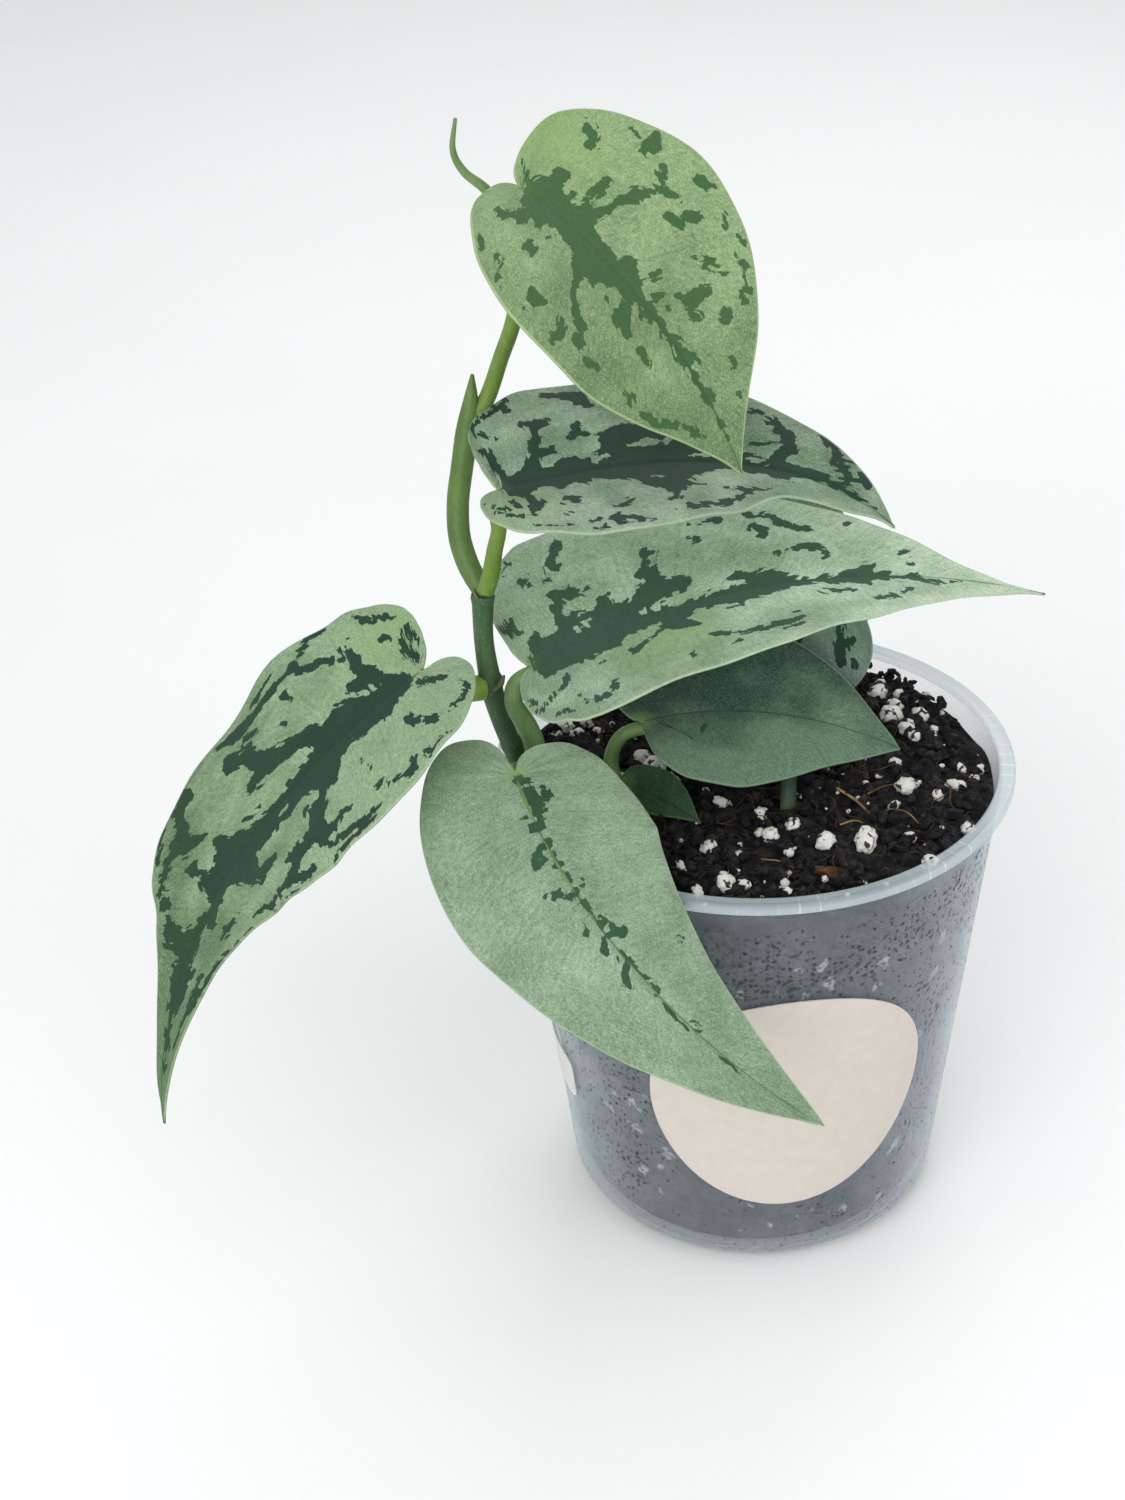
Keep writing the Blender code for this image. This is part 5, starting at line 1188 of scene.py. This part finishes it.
def blade(name, leaf, finishes, fine):
    """The thin blade of a leaf, with its flat place, its place along the veins and its marks stored."""
    along = blade_rows(fine)
    columns = round(HALF_COLUMNS * fine)
    bpy.ops.mesh.primitive_grid_add(x_subdivisions=2 * columns, y_subdivisions=len(along) - 1,
                                    size=leaf["length"] * MM)
    piece = named(name)
    rib = leaf["length"] * np.clip((along - RIB_START) / (1 - RIB_START), 0, 1) ** RIB_EASE
    middle = np.stack([np.zeros(len(along)), rib], 1)
    edges = half_outline(leaf, 0, along) * (-1, 1), half_outline(leaf, 1, along)
    column = np.arange(-columns, columns + 1)
    share, right = np.abs(column) / columns, (column >= 0).astype(int)
    edge = np.where(right[None, :, None], edges[1][:, None], edges[0][:, None])
    flat = (middle[:, None] * (1 - share)[None, :, None] + edge * share[None, :, None]).reshape(-1, 2)
    ruled = np.linalg.norm(edge - middle[:, None], axis=2)
    out = ruled * share
    run = np.broadcast_to((along * leaf["length"])[:, None], out.shape)

    quilt = QUILT_HEIGHT * np.cos(2 * math.pi * run / VEIN_SPACING) * 4 * share * (1 - share)
    phase = draw.uniform(0, 2 * math.pi, 4)
    ripple = np.sin(run / RIPPLES[0] + phase[right]) + 0.6 * np.sin(run / RIPPLES[1] + phase[2 + right])
    ripple = RIPPLE_HEIGHT * share ** 4 * ripple * np.clip(ruled / RIPPLE_FROM, 0, 1)
    groove = -GROOVE_DEEP * np.exp(-(flat[:, 0] / GROOVE_WIDE) ** 2)
    write_points(piece, on_blade(leaf, flat, (quilt + ripple).ravel() + groove))

    store(piece, "flat", "FLOAT_VECTOR", np.stack([flat[:, 1], flat[:, 0], (ruled - out).ravel()], 1))
    store(piece, "vein", "FLOAT_VECTOR", np.stack([run.ravel(), out.ravel(), np.zeros(out.size)], 1))
    spot = flat[:, ::-1]
    depth = np.maximum(stroke_depth(spot, MARKS.get(name, ())), patch_depth(spot, PATCHES.get(name, ())))
    depth = np.minimum(depth, -patch_depth(spot, CLEARINGS.get(name, ())))
    store(piece, "mark", "FLOAT", np.clip(depth, -MARK_LIMIT, MARK_LIMIT))
    for finish in finishes:
        piece.data.materials.append(finish)
    merge_points(piece)
    apply(piece, "SOLIDIFY", thickness=BLADE_THICK * MM, offset=0.0, material_offset=1,
          material_offset_rim=0)
    piece.data.shade_smooth()
    return piece


# %% [markdown]
# ## Satin leaf finish
# A leaf is yellower near its stalk and on one lobe, partly its own tint and partly painted light: the
# glow of light shining through the thin blade. That tint fades out over the distance from a spot on the
# flat leaf.

# %% Yellow spots with a painted glow
YELLOW_GLOW_BASE = (-1.0, 0.0, 4.0)


def near_to(tree, flat, spot, most):
    """Share that fades from the most at a spot = (ahead, across, reach) to nothing at its reach."""
    ahead, across, reach = spot
    run = node(tree, "VectorMath", {0: flat, 1: (ahead, across, 0.0)}, operation="SUBTRACT")
    level = node(tree, "VectorMath", {0: run, 1: (1.0, 1.0, 0.0)}, operation="MULTIPLY")
    away = node(tree, "VectorMath", {0: level}, operation="LENGTH")
    return node(tree, "MapRange", {"Value": away, "From Min": reach, "From Max": 0.5, "To Max": most})


# %% [markdown]
# The edge of each mark is roughened twice: by a noise of 2.6 mm, and by square cells of 1 by 3 mm that
# follow the side veins. Both are added to the stored depth, which then shows dark where it is above zero.

# %% Ragged marks
def marked_share(tree, flat, vein):
    """1 on the dark marks and 0 on the silver, with a ragged edge between them."""
    depth = node(tree, "Attribute", {}, attribute_name="mark").outputs["Fac"]
    noise = node(tree, "TexNoise", {"Vector": flat, "Scale": 0.38, "Detail": 4.0, "Roughness": 0.65})
    cells_at = node(tree, "Mapping", {"Vector": vein, "Scale": (0.95, 0.34, 1.0)})
    cells = node(tree, "TexVoronoi", {"Vector": cells_at, "Scale": 1.0, "Randomness": 0.8},
                 voronoi_dimensions="2D", distance="CHEBYCHEV")
    cell = node(tree, "SeparateColor", {0: cells.outputs["Color"]})
    rough = node(tree, "MapRange", {"Value": noise, "From Min": 0.3, "From Max": 0.7, "To Min": -0.4,
                                    "To Max": 0.4})
    jump = node(tree, "MapRange", {"Value": cell, "To Min": -0.8, "To Max": 0.8})
    both = node(tree, "Math", {0: rough, 1: jump}, operation="ADD")
    field = node(tree, "Math", {0: depth, 1: both}, operation="ADD")
    return node(tree, "MapRange", {"Value": field, "From Min": -0.06, "From Max": 0.06})


# %% [markdown]
# The silver is not a paint: pockets of air under the skin scatter the light, which gives a matt satin
# sheen over a green that still shows through. It is broken up by streaks of 0.7 by 2 mm that follow the
# side veins and by a grain of 0.5 mm, whose highest parts show as pale threads. The dark green has the
# same streaks and grain, only fainter. Both have two tones, that change over 14 mm and along the leaf.
# The shift along the leaf is partly the leaf's own tint and partly painted light and shade: lighter
# towards the side where a leaf is lit, darker towards the side in shade.

# %% Satin tones
def satin_tones(tree, flat, streak, colours, tone_and_light_drift, middle, yellow_glow):
    """The silver and the dark green of a leaf, before the marks part them."""
    silver, bright, dark, deep, edge = colours
    broad = node(tree, "TexNoise", {"Vector": flat, "Scale": 0.07})
    grain = node(tree, "TexNoise", {"Vector": flat, "Scale": 2.1, "Detail": 3.0, "Roughness": 0.6})
    mixed = node(tree, "Mix", {0: 0.6, 2: streak, 3: grain}, data_type="FLOAT")
    centred = node(tree, "VectorMath", {0: flat, 1: (middle, 0.0, 0.0)}, operation="SUBTRACT")
    # The tones shift along and across the leaf: partly its own tint, partly painted light and shade,
    # lighter towards its lit side and darker towards its shaded side.
    tone_and_light_offset = node(tree, "VectorMath", {0: centred, 1: (*tone_and_light_drift, 0.0)}, operation="DOT_PRODUCT")
    clouded = node(tree, "Math", {0: broad, 1: tone_and_light_offset}, operation="ADD")
    tone = node(tree, "MapRange", {"Value": clouded, "From Min": 0.28, "From Max": 0.72})
    silver_tone = node(tree, "Mix", {0: tone, 6: silver, 7: bright}, data_type="RGBA")
    dark_tone = node(tree, "Mix", {0: tone, 6: dark, 7: deep}, data_type="RGBA")

    light = node(tree, "MapRange", {"Value": mixed, "From Min": 0.37, "From Max": 0.63, "To Min": 0.66,
                                    "To Max": 1.3})
    lit = node(tree, "HueSaturation", {"Value": light, "Color": silver_tone})
    thread = node(tree, "MapRange", {"Value": grain, "From Min": 0.55, "From Max": 0.68, "To Max": 0.35})
    threaded = node(tree, "Mix", {0: thread, 6: lit, 7: edge}, data_type="RGBA")
    # Yellower around one spot: partly the leaf's own tint, partly a painted glow of light through the
    # blade.
    tinted = node(tree, "Mix", {0: near_to(tree, flat, yellow_glow, 0.4), 6: threaded, 7: "8FAE62"},
                  data_type="RGBA")
    soft_light = node(tree, "MapRange", {"Value": mixed, "From Min": 0.35, "From Max": 0.65,
                                         "To Min": 0.86, "To Max": 1.14})
    return tinted, node(tree, "HueSaturation", {"Value": soft_light, "Color": dark_tone})


# %% [markdown]
# Silver and dark green share one surface, with soft gloss and a little sheen. Over them lie fine dark
# side veins 7 mm apart, which show on the silver only, the midrib, and a thin yellowish rim.

# %% Satin leaf
def vein_swing(tree, along_vein):
    """A wave along the midrib that reaches its lowest, -1, at each side vein."""
    turn = node(tree, "Math", {0: along_vein, 1: 2 * math.pi / VEIN_SPACING}, operation="MULTIPLY")
    return node(tree, "Math", {0: turn}, operation="COSINE")


def satin_leaf(name, colours, tone_and_light_drift, middle, yellow_glow):
    """Upper side of one leaf. colours are silver in two tones, dark green in two and the rim. The tones
    shift along (ahead, across) from the leaf's middle, partly the leaf's own tint and partly painted
    light and shade. The spot (ahead, across, reach) given last is yellower, partly its own tint and
    partly a painted glow of light shining through the blade."""
    dark, rim_colour = colours[2], colours[4]
    made, tree, shader = new_finish(name, {"Roughness": 0.52, "Specular IOR Level": 0.07,
                                           "Sheen Weight": 0.015, "Sheen Roughness": 0.5})
    flat = node(tree, "Attribute", {}, attribute_name="flat").outputs["Vector"]
    vein = node(tree, "Attribute", {}, attribute_name="vein").outputs["Vector"]
    streak_at = node(tree, "Mapping", {"Vector": vein, "Scale": (1.5, 0.5, 1.0)})
    streak = node(tree, "TexNoise", {"Vector": streak_at, "Scale": 1.0, "Detail": 4.0, "Roughness": 0.65})
    silver, green = satin_tones(tree, flat, streak, colours, tone_and_light_drift, middle, yellow_glow)
    shown = marked_share(tree, flat, vein)
    marked = node(tree, "Mix", {0: shown, 6: silver, 7: green}, data_type="RGBA")

    vein_parts = node(tree, "SeparateXYZ", {0: vein})
    swing = vein_swing(tree, vein_parts)
    side_vein = node(tree, "MapRange", {"Value": swing, "From Min": -0.965, "From Max": -1.0,
                                        "To Max": 0.12})
    on_silver = node(tree, "MapRange", {"Value": shown, "To Min": 1.0, "To Max": 0.0})
    faint = node(tree, "Math", {0: side_vein, 1: on_silver}, operation="MULTIPLY")
    veined = node(tree, "Mix", {0: faint, 6: marked, 7: dark}, data_type="RGBA")
    midrib = node(tree, "MapRange", {"Value": vein_parts.outputs[1], "From Min": 0.45, "From Max": 0.25,
                                     "To Max": 0.6})
    ribbed = node(tree, "Mix", {0: midrib, 6: veined, 7: dark}, data_type="RGBA")
    # Yellower at the foot of the midrib: partly the leaf's own tint, partly a painted glow of light through
    # the blade.
    base = node(tree, "Mix", {0: near_to(tree, flat, YELLOW_GLOW_BASE, 0.2), 6: ribbed, 7: "7C9A4C"},
                data_type="RGBA")
    to_edge = node(tree, "SeparateXYZ", {0: flat}).outputs[2]
    rim = node(tree, "MapRange", {"Value": to_edge, "From Min": 0.38, "From Max": 0.18, "To Max": 0.6})
    rimmed = node(tree, "Mix", {0: rim, 6: base, 7: rim_colour}, data_type="RGBA")
    bump = node(tree, "Bump", {"Strength": 0.6, "Distance": 0.25 * MM, "Height": streak})
    plug(tree, shader, {"Base Color": rimmed, "Normal": bump})
    return made


# %% [markdown]
# The underside has no silver. It is a plain pale green with faint raised veins, duller than the top.

# %% Underside
underside, tree, shader = new_finish("leaf_underside", {"Roughness": 0.6, "Specular IOR Level": 0.3})
vein = node(tree, "Attribute", {}, attribute_name="vein").outputs["Vector"]
swing = vein_swing(tree, node(tree, "SeparateXYZ", {0: vein}))
raised = node(tree, "MapRange", {"Value": swing, "From Min": -0.93, "From Max": -1.0, "To Max": 0.4})
fleck_at = node(tree, "Mapping", {"Vector": vein, "Scale": (1.6, 0.6, 1.0)})
fleck = node(tree, "TexNoise", {"Vector": fleck_at, "Scale": 1.0, "Detail": 4.0})
plain = node(tree, "Mix", {0: fleck, 6: "6F8F6A", 7: "8CA880"}, data_type="RGBA")
lined = node(tree, "Mix", {0: raised, 6: plain, 7: "A3BC8C"}, data_type="RGBA")
height = node(tree, "Math", {0: raised, 1: 0.3, 2: fleck}, operation="MULTIPLY_ADD")
bump = node(tree, "Bump", {"Strength": 0.5, "Distance": 0.2 * MM, "Height": height})
plug(tree, shader, {"Base Color": lined, "Normal": bump})
print("underside has", len(tree.nodes), "nodes")

# %% [markdown]
# ## Stalks and whole leaves
# Each stalk grows out of the stem, a joint or the soil, and ends below its blade. The radius at each
# point is given too: stalks are a little thicker where they hug the stem. Points that show in the
# photograph were read off it, given a depth and turned into millimetres by a fitted camera. Hidden
# ones are guessed.

# %% Stalk numbers
STALKS = {
    "leaf_top": (((-64, 8, 191), (-62.6, 10.4, 195.2), (-61.1, 12.3, 198.2), (-58.7, 14, 201.5),
                  (-55.3, 13, 211), (-51.7, 10, 221.5), (-49.2, 8, 235), (-48.6, 6.2, 246),
                  (-49.2, 3, 251)),
                 (1.8, 1.9, 1.9, 1.9, 1.8, 1.8, 1.7, 1.7, 1.6)),
    "leaf_second": (((-58.8, -10.6, 166.3), (-57.4, -11.3, 170.6), (-56, -13, 177.6),
                     (-54.6, -15.5, 183.8), (-54.4, -18.3, 190)),
                    (2.0, 2.0, 1.8, 1.7, 1.7)),
    "leaf_third": (((-50.4, -11.3, 120.5), (-49.5, -12, 127), (-51, -13, 133), (-53.5, -14, 139.5),
                    (-52.6, -14, 145)),
                   (1.9, 2.4, 2.4, 2.1, 1.8)),
    "leaf_left": (((-61.0, -9.8, 141.0), (-65.5, -12.6, 142.0), (-70.8, -14, 144.4)),
                  (3.0, 2.7, 1.9)),
    "leaf_front": (((-53.7, -13.4, 119.2), (-53.5, -15.5, 121.6), (-52.8, -20, 125.5), (-52, -28, 130.5),
                    (-51.8, -32.3, 132)),
                   (1.7, 1.9, 2.0, 1.9, 1.8)),
    "leaf_low": (((-29.5, -9.9, 97), (-29.5, -9.9, 110), (-32, -8, 116), (-32.4, -7.2, 121.5),
                  (-29.6, -7.6, 127.3)),
                 (2.0, 2.0, 1.9, 1.7, 1.6)),
    "leaf_back": (((24, 40, 97), (24, 40, 112), (25.5, 38, 127), (24.5, 33.5, 140)),
                  (1.8, 1.8, 1.7, 1.6)),
    "leaf_small": (((-37, -14.5, 97), (-37, -14.5, 110), (-34.6, -13.4, 114), (-31.8, -12, 115.6)),
                   (1.2, 1.2, 1.1, 1.0)),
}
SHEATH_PATH = ((-59.4, -9.3, 163.4), (-60.2, -8.4, 165.6), (-61.6, -6.6, 167.6), (-63.4, -4.4, 170.6),
               (-65, -1.5, 175.4), (-65.2, 1.8, 182), (-64.4, 6, 188), (-63.3, 10, 195),
               (-62.4, 12.6, 201), (-61.8, 13.4, 207))
SHEATH_RADII = (1.6, 2.1, 2.4, 2.5, 2.5, 2.5, 2.5, 2.5, 1.7, 0.4)
NEW_LEAF_PATH = ((-49.2, 8, 234.5), (-50.7, 10, 239.6), (-52.9, 11, 244.6), (-56.6, 12, 249.7),
                 (-60.9, 12, 253.5), (-63, 12, 258.2), (-62.1, 12, 265))
NEW_LEAF_RADII = (1.3, 1.3, 1.2, 1.1, 0.9, 0.7, 0.4)
RIB_UNDER = ((0.02, 0.0), (0.12, 0.25), (0.3, 0.55), (0.55, 0.8), (0.8, 1.0))
RIB_END_RADIUS = 0.4


def rib_under(leaf, radius):
    """Points and radii that carry the stalk on below the blade as its raised midrib."""
    (place, _, face, _), _ = spine(leaf)
    points, radii = [], []
    for share, thinned in RIB_UNDER:
        thin = radius + (RIB_END_RADIUS - radius) * thinned
        i = int(share * SPINE_STEPS)
        points.append(tuple(place[i] - face[i] * (thin + 0.1)))
        radii.append(thin)
    return points, radii


# %% [markdown]
# Each leaf has its own colours: silver in two tones, dark green in two tones and the rim, then the way
# that the tones shift across it, which is partly painted light and shade, and its stalk's finish. The
# smallest leaf needs fewer points. The stalk runs on below the blade as its raised midrib, and the two
# are joined. The top leaf also holds the sheath at the foot of its stalk, and the next leaf, still
# rolled up.

# %% Put the leaves together
# The pair after the colours shifts the tones over each leaf: partly its own tint, partly painted light and
# shade.
FINISHES = {
    "leaf_top": ("6A835E", "89A376", "42603C", "456440", "B0C08A", (-0.005, -0.004), young_stalk),
    "leaf_second": ("677D64", "9AAC95", "283D30", "2B4036", "A2B492", (-0.002, 0.004), young_stalk),
    # leaf_third's silver is made lighter to offset the shadow that the second leaf casts on it: partly
    # painted light.
    "leaf_third": ("8CA386", "BCCDB5", "3C5443", "40584A", "A8BA98", (0.004, 0.001), olive_stalk),
    "leaf_left": ("637C5B", "8FA885", "304A35", "2B4135", "9FB28E", (-0.005, -0.001), fresh_stalk),
    "leaf_front": ("778E72", "92A78D", "3E5A44", "34503A", "A3B795", (-0.003, -0.003), olive_stalk),
    "leaf_low": ("3A4F42", "657E66", "2E4236", "2A3C32", "7E937A", (0.003, 0.02), olive_stalk),
    "leaf_back": ("6E8474", "859A88", "34493A", "2E4236", "8AA07E", (0.0, 0.0), dark_stalk),
    # leaf_small's colours are darker for the shade that it lies in, low under the other leaves: partly
    # painted shade.
    "leaf_small": ("2F4935", "435E44", "2B4132", "253A2B", "5A7650", (0.0, 0.0), dark_stalk),
}
# Spots where a leaf is yellower, partly its own tint and partly a painted glow of light through the blade.
YELLOW_GLOW_SPOTS = {"leaf_top": (-2, -18, 16), "leaf_second": (-4, 12, 17), "leaf_third": (32, 14, 20),
               "leaf_left": (1, 20, 16)}
FINENESS = {"leaf_small": 0.6}


def whole_leaf(name):
    """Blade, stalk and midrib of one leaf as one piece."""
    leaf, (points, radii) = LEAVES[name], STALKS[name]
    *colours, tone_and_light_drift, skin = FINISHES[name]
    yellow_glow = YELLOW_GLOW_SPOTS.get(name, YELLOW_GLOW_BASE)
    upper = satin_leaf("satin_" + name, colours, tone_and_light_drift, leaf["length"] / 2, yellow_glow)
    piece = blade(name, leaf, (upper, underside), FINENESS.get(name, 1.0))
    rib_points, rib_radii = rib_under(leaf, radii[-1])
    parts = [stalk(name + "_stalk", list(points) + rib_points, list(radii) + rib_radii, skin)]
    if name == "leaf_top":
        parts.append(stalk("sheath", SHEATH_PATH, SHEATH_RADII, sheath_green))
        parts.append(stalk("new_leaf", NEW_LEAF_PATH, NEW_LEAF_RADII, olive_stalk))
    join_into(piece, parts)
    fit_in(piece, "leaf", name)


for name in LEAVES:
    whole_leaf(name)

# %% [markdown]
# ## The labels
# Two stickers are on the wall: a big round-cornered one at the front, left bare, and a small one at the
# side. Each is a flat disc of paper, inset ring by ring so that it has points to bend by, then wrapped
# round the taper and given the thickness of a sticker.

# %% Stickers
LABEL_GAP = 0.06
LABEL_SHEET = 0.3
DISC_RADIUS, DISC_RINGS, DISC_POINTS = 10, 9, 128


def sticker(name, outline, angle, centre, finish):
    """A sheet of paper bent round the wall. outline gives its reach in each direction."""
    bpy.ops.mesh.primitive_circle_add(vertices=DISC_POINTS, radius=DISC_RADIUS * MM, fill_type="NGON")
    piece = named(name)
    bpy.ops.object.mode_set(mode="EDIT")
    bpy.ops.mesh.select_mode(type="FACE")
    bpy.ops.mesh.select_all(action="SELECT")
    for ring in range(DISC_RINGS):
        bpy.ops.mesh.inset(thickness=MM, depth=0)
    bpy.ops.mesh.poke()
    bpy.ops.object.mode_set(mode="OBJECT")
    points = read_points(piece)
    turns = np.arctan2(points[:, 1], points[:, 0])
    reach = np.hypot(points[:, 0], points[:, 1]) / DISC_RADIUS * outline(turns)
    height = centre + reach * np.sin(turns)
    round_wall = math.radians(angle) + reach * np.cos(turns) / wall_radius(centre)
    far = wall_radius(height) + LABEL_GAP
    write_points(piece, np.stack([far * np.sin(round_wall), -far * np.cos(round_wall), height], 1))
    piece.data.materials.append(finish)
    apply(piece, "SOLIDIFY", thickness=LABEL_SHEET * MM, offset=1.0)
    bpy.ops.object.shade_smooth_by_angle(angle=math.radians(40))
    return piece


def pebble(turn):
    """Nearly round, a little longer one way than the other."""
    return 33.0 + 0.5 * np.cos(2 * turn - 0.6)


def rounded_oblong(turn):
    """An oblong with rounded corners."""
    return ((np.abs(np.cos(turn)) / 12.0) ** 6 + (np.abs(np.sin(turn)) / 6.3) ** 6) ** (-1 / 6)


# %% [markdown]
# Label paper is uncoated and slightly warm. Its fibres give a faint clouding of about 3 mm, and a tooth
# that is finer than the render shows, drawn at 0.4 mm.

# %% Label paper
def label_paper(name, warm, light):
    """Uncoated paper with faint clouds and a fine tooth."""
    made, tree, shader = new_finish(name, {"Roughness": 0.7, "Specular IOR Level": 0.3})
    place = node(tree, "TexCoord", {}).outputs["Object"]
    clouds = node(tree, "TexNoise", {"Vector": place, "Scale": 300.0, "Detail": 4.0})
    paint = node(tree, "Mix", {0: clouds, 6: warm, 7: light}, data_type="RGBA")
    tooth = node(tree, "TexNoise", {"Vector": place, "Scale": 2500.0, "Detail": 2.0})
    bump = node(tree, "Bump", {"Strength": 0.25, "Distance": 0.1 * MM, "Height": tooth})
    plug(tree, shader, {"Base Color": paint, "Normal": bump})
    return made


STICKERS = (("front_label", "label", pebble, 10.6, 54.0, ("cream_label_paper", "C6BDB4", "D3CBC3")),
            ("side_label", "small_label", rounded_oblong, -75.0, 39.0,
             ("white_label_paper", "D4D2CE", "DEDCD8")))

for name, cad_node, outline, angle, centre, paper in STICKERS:
    fit_in(sticker(name, outline, angle, centre, label_paper(*paper)), "paper", cad_node)

# %% [markdown]
# Nothing may grow past the CAD part by more than a few hundredths of its size. Both boxes are printed
# side by side.

looks_box = [list(corner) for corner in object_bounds()]
for axis, letter in enumerate("XYZ"):
    for what, box in (("CAD", cad_box), ("looks", looks_box)):
        print(letter, what, round(box[0][axis] / MM, 1), "to", round(box[1][axis] / MM, 1), "mm")
